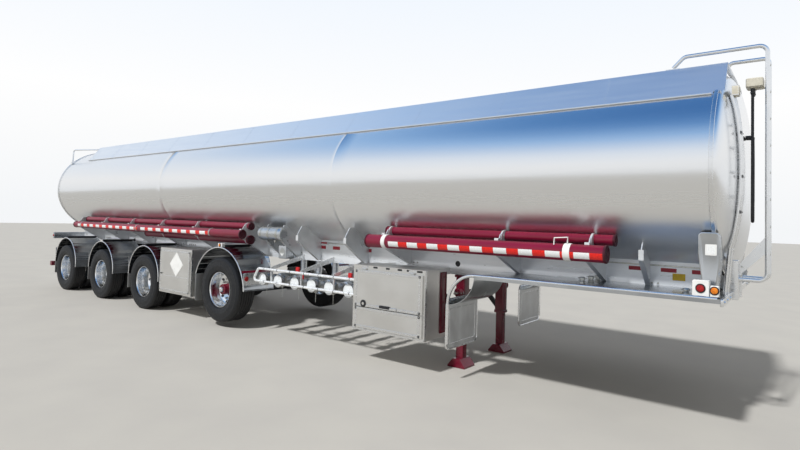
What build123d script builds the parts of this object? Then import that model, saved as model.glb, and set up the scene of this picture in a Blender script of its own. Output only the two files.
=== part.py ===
from build123d import *
import os
from math import sqrt, radians, degrees, sin, cos, asin

os.makedirs("parts", exist_ok=True)

# Driving sizes in mm: X forward, Y to the left, Z up from the floor
seat = 0.3            # gap left between pieces that rest on each other
bore_gap = 0.5        # radial gap of a turning fit

# Tank
tank_a = 1200         # half width of the elliptical shell
tank_b = 1010         # half height of the elliptical shell
tank_z = 2365         # height of the shell's centre
tank_rear = -7095     # rear end ring
tank_front = 6987     # front end ring
head_depth = 190      # dish of each head
bead_out = 12         # end bead stands proud of the shell
bead_wide = 36

# Frame rails
rail_y = 530          # rail centre from the middle
rail_wide = 100
rail_wall = 12
rail_low = 1150       # underside of the rails
rail_rear = -7050
rail_front = 6940
cross_x = (-6900, -5320, -3490, -1250, 1100, 3400, 4900, 6400)
cross_high = 150
cross_thick = 60
rail_side = rail_y + rail_wide / 2

# Coupler
coupler_thick = 12
coupler_rear = 5150
coupler_front = 6987
coupler_half = 600
kingpin_x = 6050
kingpin_neck_r = 25.4
kingpin_flange_r = 35.7
kingpin_drop = 84
kingpin_flange_high = 35
kingpin_head_r = 90

# Wheels and axles
axle_x = (-6235, -4405, -2575)
steer_x = -95
tyre_r = 515
tyre_wide = 279
rim_r = 285.75
rim_wide = 210
rim_wall = 12
twin_y = 983.5        # middle of a twin pair
twin_half = 171.5
disc_thick = 20
hub_r = 140
hub_in = 150          # hub reaches this far inboard of the disc
hub_out = 110         # hub cap reaches this far outboard of the disc
drum_r = 210
drum_wall = 18
drum_wide = 250
spindle_r = 45
axle_r = 63.5
axle_half = 690
steer_tyre_r = 530
steer_tyre_wide = 360
steer_lift = 75       # the steered axle stands lifted off the floor
steer_rim_wide = 298
steer_y = 1095
steer_disc_y = 1040   # wheel disc, inboard of the tyre's middle
steer_hub_end = 1236
steer_hub_r = 85
knuckle_y = 800       # upright pin of the steered knuckle
knuckle_r = 24
eye_r = 45

# Fenders and mudflaps
fender_half = 575
fender_top = 1200
fender_wall = 4
fender_low = 560
fender_in = 650
fender_out = 1290
fender_lip = 22
steer_fender_r = 690
steer_fender_in = 700
steer_front = 3       # angle of the fender's front end above the axle
steer_back = 111      # angle where the rear tail leaves the round
steer_tail = 470      # length of the straight tail
bracket_r = 20
flap_thick = 10
flap_low = 350
flap_top = 950

# Decks at the front
deck_z = 1240
deck_thick = 16
deck_rear = 4720
deck_front = 7055
deck_out = 1295
apron_x = 4370
flap_front_low = 370
lip_high = 40
post_front = 7130     # front of the posts that hold the ladder's feet
post_wide = 96
post_top = 1540
corner_rear = 6862
corner_front = 7030
corner_y = 1112
corner_wall = 8
lamp_box_x = 6908
lamp_box_out = 1272
lamp_deep = 18
marker_out = 1270
amber_x = 7012
marker_z = 1334
bumper_thick = 24
bumper_front_low = 1176

# Landing legs
leg_x = 4115
leg_y = 530
leg_wide = 130
leg_inner = 104
leg_split = 560
foot_wide = 250
foot_thick = 20
shaft_z = 930

# Big cabinet on the kerb side
cab_rear = 2905
cab_front = 4045
cab_out = 1258
cab_in = 820
cab_low = 405
cab_top = 1236
cab_wall = 4
cab_frame = 36
door_thick = 22
door_split = 708      # height where the upper and lower doors meet
door_gap = 8
door_top = 1176
door_low = 440
hinge_r = 9
hinge_pin_r = 4
hinge_long = 56
hinge_ear = 8

# Small cabinet
box_rear = -1980
box_front = -935
box_out = 1258
box_in = 850
box_low = 395
box_top = 1205
box_wall = 4
box_frame = 40
box_door_thick = 20

# Hose tubes
tube_r = 95
tube_wall = 4
front_tubes = (("low", 3110, 6090, 1195, 1562), ("high", 3250, 6110, 1003, 1650))
rear_tube_r = 78
rear_tubes = (("tape", -5990, 340, 1160, 1535), ("high", -5790, 330, 1000, 1640),
              ("under", -3000, 330, 990, 1440))
cap_out = 22
cap_in = 14
reservoir_r = 105
reservoir = ("reservoir", 640, 1180, 1010, 1560)
lid_swing_r = 108

# Loading adaptors
adaptor_x = (930, 1295, 1668, 2024, 2375, 2742)
adaptor_z = 862
adaptor_y = 1085
adaptor_r = 76
adaptor_long = 60
cap_r = 92
cap_thick = 46
pipe_r = 52
pipe_run = 260
guard_y = 1240
guard_r = 19
guard_high = 1030
guard_low = 840
valve_x = (1668, 2742)

# Top of the tank
lid_x = (-5200, -1750, 1750, 5200)
lid_r = 255
lid_high = 34
handle_half = 60
handle_high = 36
collar_r = 240
collar_wall = 22
well_deep = 36
neck_r = 105
collar_rise = 71          # heights above the shell's top
collar_top = tank_z + tank_b + collar_rise
ear_thick = 14
lid_pin_r = 6
lid_barrel_r = 13
coam_low_y = 860
coam_top_y = 640
coam_rise = 20
coam_top_z = tank_z + tank_b + coam_rise
coam_wall = 6
coam_rear = -6235
coam_front = 7035
coam_lip = 60
coam_bar = 40
vapour_y = 400
vapour_r = 38
walk_out = 560
walk_in = 300
walk_rise = 25
walk_z = tank_z + tank_b + walk_rise
walk_thick = 6

# Ladder at the front head
ladder_x = 7345
ladder_near = 640
ladder_far = 360
ladder_r = 19
rung_r = 12
ladder_low = 1364
hoop_rise = 137
hoop_top = tank_z + tank_b + hoop_rise
hoop_rear = 6560
rung_first = 1600
rung_step = 255
holder_x = 7240
holder_long = 140
holder_high = 86
conduit_r = 16
conduit_off = 20
conduit_top = 3050
union_z = 2700

# Rear end
bumper_rear = -7364
bumper_low = 480
bumper_high = 110
bumper_deep = 100
bumper_half = 1200
light_bar_thick = 58
light_bar_low = 1156
light_bar_high = 150
lamp_r = 52
lamp_thick = 24


def shell_void(grow):
    """Cut the tank's section, grown by a gap, from the sketch being drawn on a YZ plane."""
    with Locations((0, tank_z)):
        Ellipse(tank_a + grow, tank_b + grow, mode=Mode.SUBTRACT)


def shell_height(y, side=1):
    """Height of the shell's surface at a distance from the middle, above or below its centre."""
    return tank_z + side * tank_b * sqrt(1 - (y / tank_a) ** 2)


def save(piece, label):
    """Label a finished piece and write it as STEP."""
    piece.part.label = label
    export_step(piece.part, f"parts/{label}.step")


# Tank shell with dished heads and end beads
dish = scale(Sphere(1000), by=(head_depth / 1000, tank_a / 1000, tank_b / 1000))
with BuildPart() as tank_shell:
    with BuildSketch(Plane.YZ.offset(tank_rear)):
        with Locations((0, tank_z)):
            Ellipse(tank_a, tank_b)
    extrude(amount=tank_front - tank_rear)
    for bead_x in (tank_rear, tank_front - bead_wide):
        with BuildSketch(Plane.YZ.offset(bead_x)):
            with Locations((0, tank_z)):
                Ellipse(tank_a + bead_out, tank_b + bead_out)
        extrude(amount=bead_wide)
    add(Pos(tank_rear, 0, tank_z) * dish)
    add(Pos(tank_front, 0, tank_z) * dish)
save(tank_shell, "tank_shell")

# Top coaming: two leaning side plates with an inner lip, tied by flat bars
bead_start = tank_front - bead_wide - 8
coam_foot = 345
with BuildPart() as top_coaming:
    for start, length, grow in ((coam_rear, bead_start - coam_rear, seat),
                                (bead_start, coam_front - bead_start, bead_out + seat)):
        with BuildSketch(Plane.YZ.offset(start)):
            for side in (-1, 1):
                with BuildLine():
                    Polyline((side * (coam_low_y + 26), coam_top_z - coam_foot),
                             (side * coam_top_y, coam_top_z),
                             (side * (coam_top_y - coam_lip), coam_top_z),
                             (side * (coam_top_y - coam_lip), coam_top_z - coam_wall),
                             (side * (coam_top_y - coam_wall), coam_top_z - coam_wall),
                             (side * (coam_low_y + 12), coam_top_z - coam_foot), close=True)
                make_face()
            shell_void(grow)
        extrude(amount=length)
    for bar_x, grow in ((coam_rear, seat), (coam_front - coam_bar, bead_out + seat)):
        with BuildSketch(Plane.YZ.offset(bar_x)):
            with Locations((0, coam_top_z - 12)):
                Rectangle(2 * (coam_top_y - coam_wall), 24)
            shell_void(grow)
        extrude(amount=coam_bar)

# Manhole collars with hinge ears and pins, and the lids that turn on them
crown = tank_z + tank_b
lid_pin_x = -(lid_r + 34)
lid_pin_z = collar_top + 2
collar_base = crown - 130
with BuildPart() as manhole_collars:
    for x in lid_x:
        with BuildSketch(Plane.XY.offset(collar_base)):
            with Locations((x, 0)):
                Circle(collar_r)
            with Locations((x - collar_r - 20, 0)):
                Rectangle(130, 136)
        extrude(amount=collar_top - 40 - collar_base)
    with BuildSketch(Plane.YZ.offset(lid_x[0] - 900)):
        with Locations((0, tank_z)):
            Ellipse(tank_a + seat, tank_b + seat)
    extrude(amount=lid_x[-1] - lid_x[0] + 1800, mode=Mode.SUBTRACT)
    for x in lid_x:
        with BuildSketch(Plane.XY.offset(collar_top - 42)):
            with Locations((x, 0)):
                Circle(collar_r)
        extrude(amount=42)
        with BuildSketch(Plane.XY.offset(collar_top)):
            with Locations((x, 0)):
                Circle(collar_r - collar_wall)
                Circle(neck_r, mode=Mode.SUBTRACT)
        extrude(amount=-well_deep, mode=Mode.SUBTRACT)
        with BuildSketch(Plane.XY.offset(collar_top - 4)):
            with Locations((x, 0)):
                Circle(neck_r - 12)
        extrude(amount=-30, mode=Mode.SUBTRACT)
        with BuildSketch(Plane.XY.offset(collar_top - 42)):
            for side in (-1, 1):
                with Locations((x + lid_pin_x, side * 54)):
                    Rectangle(30, ear_thick)
        extrude(amount=58)
        with BuildSketch(Plane.XZ.offset(-61)):
            with Locations((x + lid_pin_x, lid_pin_z)):
                Circle(lid_pin_r)
        extrude(amount=122)
save(manhole_collars, "manhole_collars")

for number, x in enumerate(lid_x, 1):
    with BuildPart() as lid:
        with BuildSketch(Plane.XY.offset(collar_top + seat)):
            with Locations((x, 0)):
                Circle(lid_r)
        extrude(amount=lid_high)
        fillet(lid.faces().sort_by(Axis.Z)[-1].edges(), 10)
        with BuildSketch(Plane.XY.offset(collar_top + 4)):
            with Locations((x - lid_r - 8, 0)):
                Rectangle(54, 60)
        extrude(amount=11)
        lid_face = collar_top + seat + lid_high
        with BuildLine() as loop:
            FilletPolyline((x + 150, -handle_half, lid_face - 4), (x + 150, -handle_half, lid_face + handle_high),
                           (x + 150, handle_half, lid_face + handle_high), (x + 150, handle_half, lid_face - 4),
                           radius=16)
        with BuildSketch(Plane(origin=loop.line @ 0, z_dir=loop.line % 0)):
            Circle(6)
        sweep(path=loop.line)
        with BuildSketch(Plane.XZ.offset(-44)):
            with Locations((x + lid_pin_x, lid_pin_z)):
                Circle(lid_barrel_r)
        extrude(amount=88)
        with BuildSketch(Plane.XZ.offset(-50)):
            with Locations((x + lid_pin_x, lid_pin_z)):
                Circle(lid_pin_r + bore_gap)
        extrude(amount=100, mode=Mode.SUBTRACT)
    save(lid, f"manhole_lid_{number}")

# Vapour pipe along the left of the lids, on short feet
vapour_z = shell_height(vapour_y - vapour_r) + vapour_r + 40
with BuildPart() as vapour_pipe:
    with BuildSketch(Plane.YZ.offset(lid_x[0] - 420)):
        with Locations((vapour_y, vapour_z)):
            Circle(vapour_r)
    extrude(amount=lid_x[-1] - lid_x[0] + 840)
    for x in lid_x:
        with BuildSketch(Plane.YZ.offset(x - 60)):
            with Locations((vapour_y, vapour_z - 70)):
                Rectangle(60, 140)
            shell_void(seat)
        extrude(amount=120)
save(vapour_pipe, "vapour_pipe")

# Walkway: chequer planks on ribs, right of the lids
with BuildPart() as walkway:
    with Locations((0, -(walk_out + walk_in) / 2, walk_z - walk_thick / 2)):
        Box(2 * 5900, walk_out - walk_in, walk_thick)
    for x in (-5860, -4560, -3360, -2360, -1160, 60, 1260, 2460, 3460, 4660, 5860):
        with BuildSketch(Plane.YZ.offset(x)):
            with Locations((-(walk_out + walk_in) / 2, walk_z - walk_thick - 110)):
                Rectangle(walk_out - walk_in - 20, 220)
            shell_void(seat)
        extrude(amount=12)
save(walkway, "walkway")

# Frame rails under the shell: channels with their webs outward, and cross members
with BuildPart() as frame_rails:
    with BuildSketch(Plane.YZ.offset(rail_rear)):
        for side in (-1, 1):
            with Locations((side * rail_y, rail_low + 175)):
                Rectangle(rail_wide, 350)
            with Locations((side * (rail_y - rail_wall), rail_low + 175 + rail_wall)):
                Rectangle(rail_wide, 350, mode=Mode.SUBTRACT)
        shell_void(seat)
    extrude(amount=rail_front - rail_rear)
    for x in cross_x:
        with Locations((x, 0, rail_low + cross_high / 2)):
            Box(cross_thick, 2 * rail_side - rail_wall, cross_high)
save(frame_rails, "frame_rails")

# Coupler plate under the front of the rails, and the kingpin
coupler_top = rail_low - seat
coupler_low = coupler_top - coupler_thick
with BuildPart() as coupler_plate:
    with Locations(((coupler_rear + coupler_front) / 2, 0, coupler_top - coupler_thick / 2)):
        Box(coupler_front - coupler_rear, 2 * coupler_half, coupler_thick)
    with Locations((kingpin_x, 0, coupler_top)):
        Hole(kingpin_flange_r + seat, depth=2 * coupler_thick)
save(coupler_plate, "coupler_plate")

with BuildPart() as kingpin:
    for radius, low, high in ((kingpin_flange_r, coupler_low - kingpin_drop,
                               coupler_low - kingpin_drop + kingpin_flange_high),
                              (kingpin_neck_r, coupler_low - kingpin_drop, coupler_top + 2),
                              (kingpin_flange_r, coupler_low - 12, coupler_top + 2),
                              (kingpin_head_r, coupler_top + seat, coupler_top + seat + 16)):
        with BuildSketch(Plane.XY.offset(low)):
            with Locations((kingpin_x, 0)):
                Circle(radius)
        extrude(amount=high - low)
save(kingpin, "kingpin")

# Front decks: flat plate with an outer lip, curled down at the rear into an apron
curl_r = deck_rear - apron_x
deck_in = rail_side + seat
with BuildPart() as front_decks:
    with BuildSketch(Plane.XZ.offset(deck_in)):
        with BuildLine():
            Line((deck_front, deck_z), (deck_rear, deck_z))
            RadiusArc((deck_rear, deck_z), (apron_x, deck_z - curl_r), curl_r, short_sagitta=True)
            Line((apron_x, deck_z - curl_r), (apron_x + deck_thick, deck_z - curl_r))
            RadiusArc((apron_x + deck_thick, deck_z - curl_r),
                      (deck_rear, deck_z - deck_thick), -(curl_r - deck_thick))
            Line((deck_rear, deck_z - deck_thick), (deck_front, deck_z - deck_thick))
            Line((deck_front, deck_z - deck_thick), (deck_front, deck_z))
        make_face()
    extrude(amount=deck_out - deck_in)
    with BuildSketch(Plane.XY.offset(deck_z - lip_high)):
        with Locations(((deck_rear + deck_front) / 2, -(deck_out - 4))):
            Rectangle(deck_front - deck_rear, 8)
    extrude(amount=lip_high)
    mirror(about=Plane.XZ)
# boxes that carry the corner lamps
with BuildPart() as deck_set:
    add(front_decks.part)
    for side in (-1, 1):
        with Locations((lamp_box_x, side * (lamp_box_out - 35), deck_z + 69)):
            Box(130, 70, 142)
        with Locations((amber_x, side * (lamp_box_out - 25), deck_z + 49)):
            Box(66, 50, 102)
save(deck_set, "front_decks")

# Front bumper bar across the deck ends, with the ladder's posts
with BuildPart() as front_bumper:
    with Locations((deck_front + seat + bumper_thick / 2, 0, (bumper_front_low + deck_z) / 2)):
        Box(bumper_thick, 2 * deck_out, deck_z - bumper_front_low)
    for y, wide, top in ((-ladder_near + 4, post_wide, post_top), (-ladder_far, 50, 1440)):
        with Locations(((deck_front + seat + post_front) / 2, y, (top + bumper_front_low) / 2)):
            Box(post_front - deck_front - seat, wide, top - bumper_front_low)

# Corner brackets on the bumper: pressed boxes, open towards the tank, from the deck's corners up to the shell
corner_face = ((corner_rear, 1792), (corner_front, 1792), (corner_front, 1520), (corner_front - 34, deck_z + seat),
               (corner_rear + 46, deck_z + seat), (corner_rear, 1600))
with BuildPart() as corner_brackets:
    for side in (-1, 1):
        with BuildSketch(Plane.XZ.offset(-side * 860)) as face:
            with BuildLine():
                Polyline(*corner_face, close=True)
            make_face()
        extrude(face.sketch, amount=-side * -(corner_y - 860))
        with BuildSketch(Plane.XZ.offset(-side * 860)) as inside:
            add(offset(face.sketch, -corner_wall, mode=Mode.PRIVATE))
        extrude(inside.sketch, amount=-side * -(corner_y - 860 - corner_wall), mode=Mode.SUBTRACT)
    with BuildSketch(Plane.YZ.offset(corner_rear - 10)):
        with Locations((0, tank_z)):
            Ellipse(tank_a + bead_out + seat, tank_b + bead_out + seat)
    extrude(amount=corner_front - corner_rear + 20, mode=Mode.SUBTRACT)
with BuildPart() as bumper_set:
    add(front_bumper.part)
    add(corner_brackets.part)
save(bumper_set, "front_bumper")

# Marker lamps: round red ones at the front corners, amber ones beside them and over the steered wheels
with BuildPart() as marker_lamps:
    for side in (-1, 1):
        with Locations((lamp_box_x, side * (lamp_box_out + seat + lamp_deep / 2), deck_z + 76)):
            Cylinder(46, lamp_deep, rotation=(90, 0, 0))
        with Locations((amber_x, side * (lamp_box_out + seat + lamp_deep / 2), deck_z + 64)):
            Cylinder(32, lamp_deep, rotation=(90, 0, 0))
        with Locations((steer_x, side * (marker_out + seat + lamp_deep / 2), marker_z)):
            Cylinder(24, lamp_deep, rotation=(90, 0, 0))
    fillet(marker_lamps.faces().filter_by(Axis.Y).edges(), 6)
save(marker_lamps, "marker_lamps")

# Landing legs with feet, inner tubes and a cross shaft with a crank stub
leg_top = rail_low - seat
with BuildPart() as landing_legs:
    for side in (-1, 1):
        with Locations((leg_x, side * leg_y, (leg_top + leg_split) / 2)):
            Box(leg_wide, leg_wide, leg_top - leg_split)
        with Locations((leg_x, side * leg_y, (leg_split + foot_thick) / 2)):
            Box(leg_inner, leg_inner, leg_split - foot_thick + 20)
        with BuildSketch(Plane.XZ.offset(-side * leg_y - foot_wide / 2)):
            with BuildLine():
                Polyline((leg_x - foot_wide / 2, 0), (leg_x + foot_wide / 2, 0),
                         (leg_x + foot_wide / 2, foot_thick), (leg_x + leg_inner / 2, 110),
                         (leg_x - leg_inner / 2, 110), (leg_x - foot_wide / 2, foot_thick), close=True)
            make_face()
        extrude(amount=foot_wide)
    with Locations((leg_x, 0, shaft_z)):
        Cylinder(22, 2 * leg_y - leg_wide + 20, rotation=(90, 0, 0))
    with Locations((leg_x, -(leg_y + leg_wide / 2 + 40), shaft_z)):
        Cylinder(16, 90, rotation=(90, 0, 0))

# Diagonal braces from the legs back up to the rails
with BuildPart() as leg_braces:
    for side in (-1, 1):
        with BuildSketch(Plane.XZ.offset(-side * leg_y - 20)):
            with BuildLine():
                Polyline((leg_x - leg_wide / 2 + 4, 590), (leg_x - leg_wide / 2 + 4, 680),
                         (leg_x - 500, leg_top), (leg_x - 590, leg_top), close=True)
            make_face()
        extrude(amount=40)
with BuildPart() as leg_set:
    add(landing_legs.part)
    add(leg_braces.part)
save(leg_set, "landing_legs")


def door_ears(x, y, z, inner):
    """Two ears and a pin along X that carry one door barrel, standing out of a cabinet's face."""
    for end in (-1, 1):
        with Locations((x + end * (hinge_long / 2 + 1 + hinge_ear / 2), (y + inner) / 2 - hinge_r / 2, z)):
            Box(hinge_ear, inner - y + hinge_r, 2 * hinge_r)
    with Locations((x, y, z)):
        Cylinder(hinge_pin_r, hinge_long + 2 + 2 * hinge_ear, rotation=(0, 90, 0))


def door_barrel(x, y, z, edge):
    """One door barrel along X with its tongue down or up to the door's edge."""
    with Locations((x, y, z)):
        Cylinder(hinge_r, hinge_long, rotation=(0, 90, 0))
    with Locations((x, y, (z + edge) / 2)):
        Box(hinge_long, 8, abs(z - edge) + 4)
    with Locations((x, y, z)):
        Cylinder(hinge_pin_r + bore_gap, hinge_long + 20, rotation=(0, 90, 0), mode=Mode.SUBTRACT)


# Big cabinet on the kerb side, hollow, with an upper and a lower door
cab_long = cab_front - cab_rear
cab_deep = cab_out - cab_in
cab_high = cab_top - cab_low
cab_x = (cab_rear + cab_front) / 2
cab_y = -(cab_out + cab_in) / 2
cab_z = (cab_low + cab_top) / 2
door_y = -(cab_out + seat + door_thick / 2)
top_hinge_z = door_top + hinge_r + 5
low_hinge_z = door_low - hinge_r - 5
hinge_x = (cab_rear + 190, cab_front - 190)
with BuildPart() as cabinet_body:
    with Locations((cab_x, cab_y, cab_z)):
        Box(cab_long, cab_deep, cab_high)
        Box(cab_long - 2 * cab_wall, cab_deep - 2 * cab_wall, cab_high - 2 * cab_wall, mode=Mode.SUBTRACT)
    with Locations((cab_x, -cab_out, (door_low + door_top) / 2)):
        Box(cab_long - 2 * cab_frame, 40, door_top - door_low - 40, mode=Mode.SUBTRACT)
    for x in hinge_x:
        door_ears(x, door_y, top_hinge_z, -cab_out)
        door_ears(x, door_y, low_hinge_z, -cab_out)
    for x in (cab_rear + 120, cab_front - 120):
        with Locations((x, -(cab_in + rail_side) / 2 + seat / 2, (rail_low + cab_top - cab_wall) / 2)):
            Box(60, cab_in - rail_side - seat, cab_top - cab_wall - rail_low)
save(cabinet_body, "cabinet_body")

for label, low, high, hinge_z, edge in (("upper", door_split + door_gap / 2, door_top, top_hinge_z, door_top),
                                        ("lower", door_low, door_split - door_gap / 2, low_hinge_z, door_low)):
    with BuildPart() as door:
        with Locations((cab_x, door_y, (low + high) / 2)):
            Box(cab_long - 2 * cab_frame + 24, door_thick, high - low)
        for x in hinge_x:
            door_barrel(x, door_y, hinge_z, edge)
        if label == "upper":
            with Locations((cab_x - 20, door_y - door_thick / 2 - 6, low + 30)):
                Box(150, 12, 24)
            with Locations((cab_rear + 195, door_y - door_thick / 2 - 5, low + 34)):
                Cylinder(28, 10, rotation=(90, 0, 0))
    save(door, f"cabinet_door_{label}")

# Small cabinet with a door on upright hinges at its front edge
box_x = (box_rear + box_front) / 2
box_y = -(box_out + box_in) / 2
box_z = (box_low + box_top) / 2
box_door_y = -(box_out + seat + box_door_thick / 2)
box_hinge_x = box_front - 20
box_door_front = box_hinge_x - hinge_r - 5
box_door_rear = box_rear + 26
with BuildPart() as small_cabinet:
    with Locations((box_x, box_y, box_z)):
        Box(box_front - box_rear, box_out - box_in, box_top - box_low)
        Box(box_front - box_rear - 2 * box_wall, box_out - box_in - 2 * box_wall,
            box_top - box_low - 2 * box_wall, mode=Mode.SUBTRACT)
    with Locations(((box_door_rear + box_door_front) / 2, -box_out, box_z)):
        Box(box_door_front - box_door_rear - 50, 40, box_top - box_low - 2 * box_frame - 30, mode=Mode.SUBTRACT)
    for z in (box_low + 150, box_top - 150):
        for end in (-1, 1):
            with Locations((box_hinge_x, (box_door_y - box_out) / 2 - hinge_r / 2,
                            z + end * (hinge_long / 2 + 1 + hinge_ear / 2))):
                Box(2 * hinge_r, -box_out - box_door_y + hinge_r, hinge_ear)
        with Locations((box_hinge_x, box_door_y, z)):
            Cylinder(hinge_pin_r, hinge_long + 2 + 2 * hinge_ear)
    for x in (box_rear + 150, box_front - 230):
        with Locations((x, -(box_in + rail_side) / 2 + seat / 2, (rail_low + box_top - box_wall) / 2)):
            Box(60, box_in - rail_side - seat, box_top - box_wall - rail_low)
save(small_cabinet, "small_cabinet")

with BuildPart() as small_door:
    with Locations(((box_door_rear + box_door_front) / 2, box_door_y, box_z)):
        Box(box_door_front - box_door_rear, box_door_thick, box_top - box_low - 2 * box_frame)
    for z in (box_low + 150, box_top - 150):
        with Locations((box_hinge_x, box_door_y, z)):
            Cylinder(hinge_r, hinge_long)
        with Locations(((box_hinge_x + box_door_front) / 2, box_door_y, z)):
            Box(box_hinge_x - box_door_front + 4, 8, hinge_long)
        with Locations((box_hinge_x, box_door_y, z)):
            Cylinder(hinge_pin_r + bore_gap, hinge_long + 20, mode=Mode.SUBTRACT)
    with Locations((box_door_rear + 70, box_door_y - box_door_thick / 2 - 6, box_z - 60)):
        Box(60, 12, 30)
save(small_door, "small_cabinet_door")

# Outrigger gussets under the shell's sides: they carry the hose tubes and the air reservoir
gusset_thick = 12
flange_wide = 50
tube_gussets = (3330, 4930, 5915)
plain_gussets = (1566, 2547)
rear_gussets = (-5900, -4700, -3500, -2300, -1100, 290)
reservoir_gussets = (730, 1110)


def gusset(x, reach, holes, base=rail_low + 20):
    """One gusset pair: from the rail's side out under the shell, cut clear of what it carries."""
    with BuildSketch(Plane.YZ.offset(x - gusset_thick / 2)) as section:
        for side in (-1, 1):
            with BuildLine():
                Polyline((side * (rail_side + seat), base), (side * (rail_side + 60), base),
                         (side * reach, 1480), (side * reach, 1560), (side * (reach - 90), 1700),
                         (side * (rail_side + seat), 1700), close=True)
            make_face()
        with Locations((0, tank_z)):
            Ellipse(tank_a + seat, tank_b + seat, mode=Mode.SUBTRACT)
        for name, start, end, y, z, radius in holes:
            if start < x < end:
                with Locations((-y, z), (y, z)):
                    Circle(radius + seat, mode=Mode.SUBTRACT)
        with Locations((0, 1700)):
            Rectangle(2 * rail_side, 1400, mode=Mode.SUBTRACT)
    extrude(section.sketch, amount=gusset_thick)
    with BuildSketch(Plane.YZ.offset(x - flange_wide / 2)) as flange:
        for side in (-1, 1):
            with BuildLine():
                Polyline((side * (rail_side + 60), base), (side * reach, 1480), (side * reach, 1560),
                         (side * (reach - 8), 1560), (side * (reach - 8), 1487),
                         (side * (rail_side + 60), base + 10), close=True)
            make_face()
        for name, start, end, y, z, radius in holes:
            if start < x < end:
                with Locations((-y, z), (y, z)):
                    Circle(radius + seat, mode=Mode.SUBTRACT)
    extrude(flange.sketch, amount=flange_wide)


front_holes = [tube + (tube_r,) for tube in front_tubes]
rear_holes = [tube + (rear_tube_r,) for tube in rear_tubes]
with BuildPart() as outrigger_gussets:
    for x in tube_gussets:
        gusset(x, 1195, front_holes, deck_z + seat)
    for x in plain_gussets:
        gusset(x, 1080, front_holes)
    for x in rear_gussets:
        gusset(x, 1160, rear_holes)
    for x in reservoir_gussets:
        gusset(x, 1040, [reservoir + (reservoir_r,)])
save(outrigger_gussets, "outrigger_gussets")

# Hose tubes beside the shell, on both sides
with BuildPart() as hose_tubes:
    for tubes, radius in ((front_tubes, tube_r), (rear_tubes, rear_tube_r)):
        for name, start, end, y, z in tubes:
            with BuildSketch(Plane.YZ.offset(start)):
                with Locations((-y, z)):
                    Circle(radius)
                    Circle(radius - tube_wall, mode=Mode.SUBTRACT)
            extrude(amount=end - start)
    mirror(about=Plane.XZ)

# End caps pushed into the hose tubes
with BuildPart() as tube_caps:
    for tubes, radius in ((front_tubes, tube_r), (rear_tubes, rear_tube_r)):
        for name, start, end, y, z in tubes:
            for side in (-1, 1):
                for x, out in ((start, -1), (end, 1)):
                    with Locations((x + out * (seat + cap_out / 2), side * y, z)):
                        Cylinder(radius + 6, cap_out, rotation=(0, 90, 0))
                    with Locations((x + out * (cap_out / 2 - cap_in) + out * seat, side * y, z)):
                        Cylinder(radius - tube_wall - seat, cap_out, rotation=(0, 90, 0))
with BuildPart() as tube_set:
    add(hose_tubes.part)
    add(tube_caps.part)
save(tube_set, "hose_tubes")

# Air reservoirs with domed ends
with BuildPart() as air_reservoirs:
    name, start, end, y, z = reservoir
    with BuildSketch(Plane.YZ.offset(start)):
        with Locations((-y, z)):
            Circle(reservoir_r)
    extrude(amount=end - start)
    fillet(air_reservoirs.faces().filter_by(Axis.X).edges(), 50)
    mirror(about=Plane.XZ)
save(air_reservoirs, "air_reservoirs")

# Loading pipes with adaptor flanges, and the caps on them
with BuildPart() as loading_pipes:
    for x in adaptor_x:
        inner_y = adaptor_y - pipe_run
        with BuildLine() as run:
            FilletPolyline((x, -adaptor_y, adaptor_z), (x, -inner_y, adaptor_z),
                           (x, -inner_y, shell_height(inner_y, -1) + 20), radius=110)
        with BuildSketch(Plane.XZ.offset(adaptor_y)):
            with Locations((x, adaptor_z)):
                Circle(pipe_r)
        sweep(path=run.line)
        with BuildSketch(Plane.XZ.offset(adaptor_y - 10)):
            with Locations((x, adaptor_z)):
                Circle(adaptor_r)
        extrude(amount=adaptor_long + 10)
    with BuildSketch(Plane.YZ.offset(adaptor_x[0] - 300)):
        with Locations((0, tank_z)):
            Ellipse(tank_a + seat, tank_b + seat)
    extrude(amount=adaptor_x[-1] - adaptor_x[0] + 600, mode=Mode.SUBTRACT)
cap_y = adaptor_y + adaptor_long + seat
with BuildPart() as adaptor_caps:
    for x in adaptor_x:
        with BuildSketch(Plane.XZ.offset(cap_y)):
            with Locations((x, adaptor_z)):
                Circle(cap_r)
        extrude(amount=cap_thick)

# Cam levers on the adaptors, and hand valves with red handles on the pipes behind them
with BuildPart() as adaptor_levers:
    for x in adaptor_x:
        for side in (-1, 1):
            with Locations((x + side * (adaptor_r + 7 + seat), -(adaptor_y + 24), adaptor_z + 10)):
                Box(14, 26, 110)
        with Locations((x, -(adaptor_y + 10), adaptor_z - adaptor_r - seat - 11)):
            Box(34, 20, 22)
        with Locations((x, -(adaptor_y + 10), adaptor_z - adaptor_r - 22 - 70)):
            Cylinder(4, 150)
with BuildPart() as cap_set:
    add(adaptor_caps.part)
    add(adaptor_levers.part)
save(cap_set, "adaptor_caps")
with BuildPart() as valve_handles:
    for x in valve_x:
        with Locations((x, -(adaptor_y - 60), adaptor_z + pipe_r + seat + 44)):
            Cylinder(14, 112)
        with Locations((x, -(adaptor_y - 60), adaptor_z + pipe_r + seat + 100)):
            Box(130, 34, 16)
        with Locations((x + 58, -(adaptor_y - 60), adaptor_z + pipe_r + seat + 76)):
            Box(16, 34, 60)
with BuildPart() as pipe_set:
    add(loading_pipes.part)
    add(valve_handles.part)
save(pipe_set, "loading_pipes")

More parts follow.
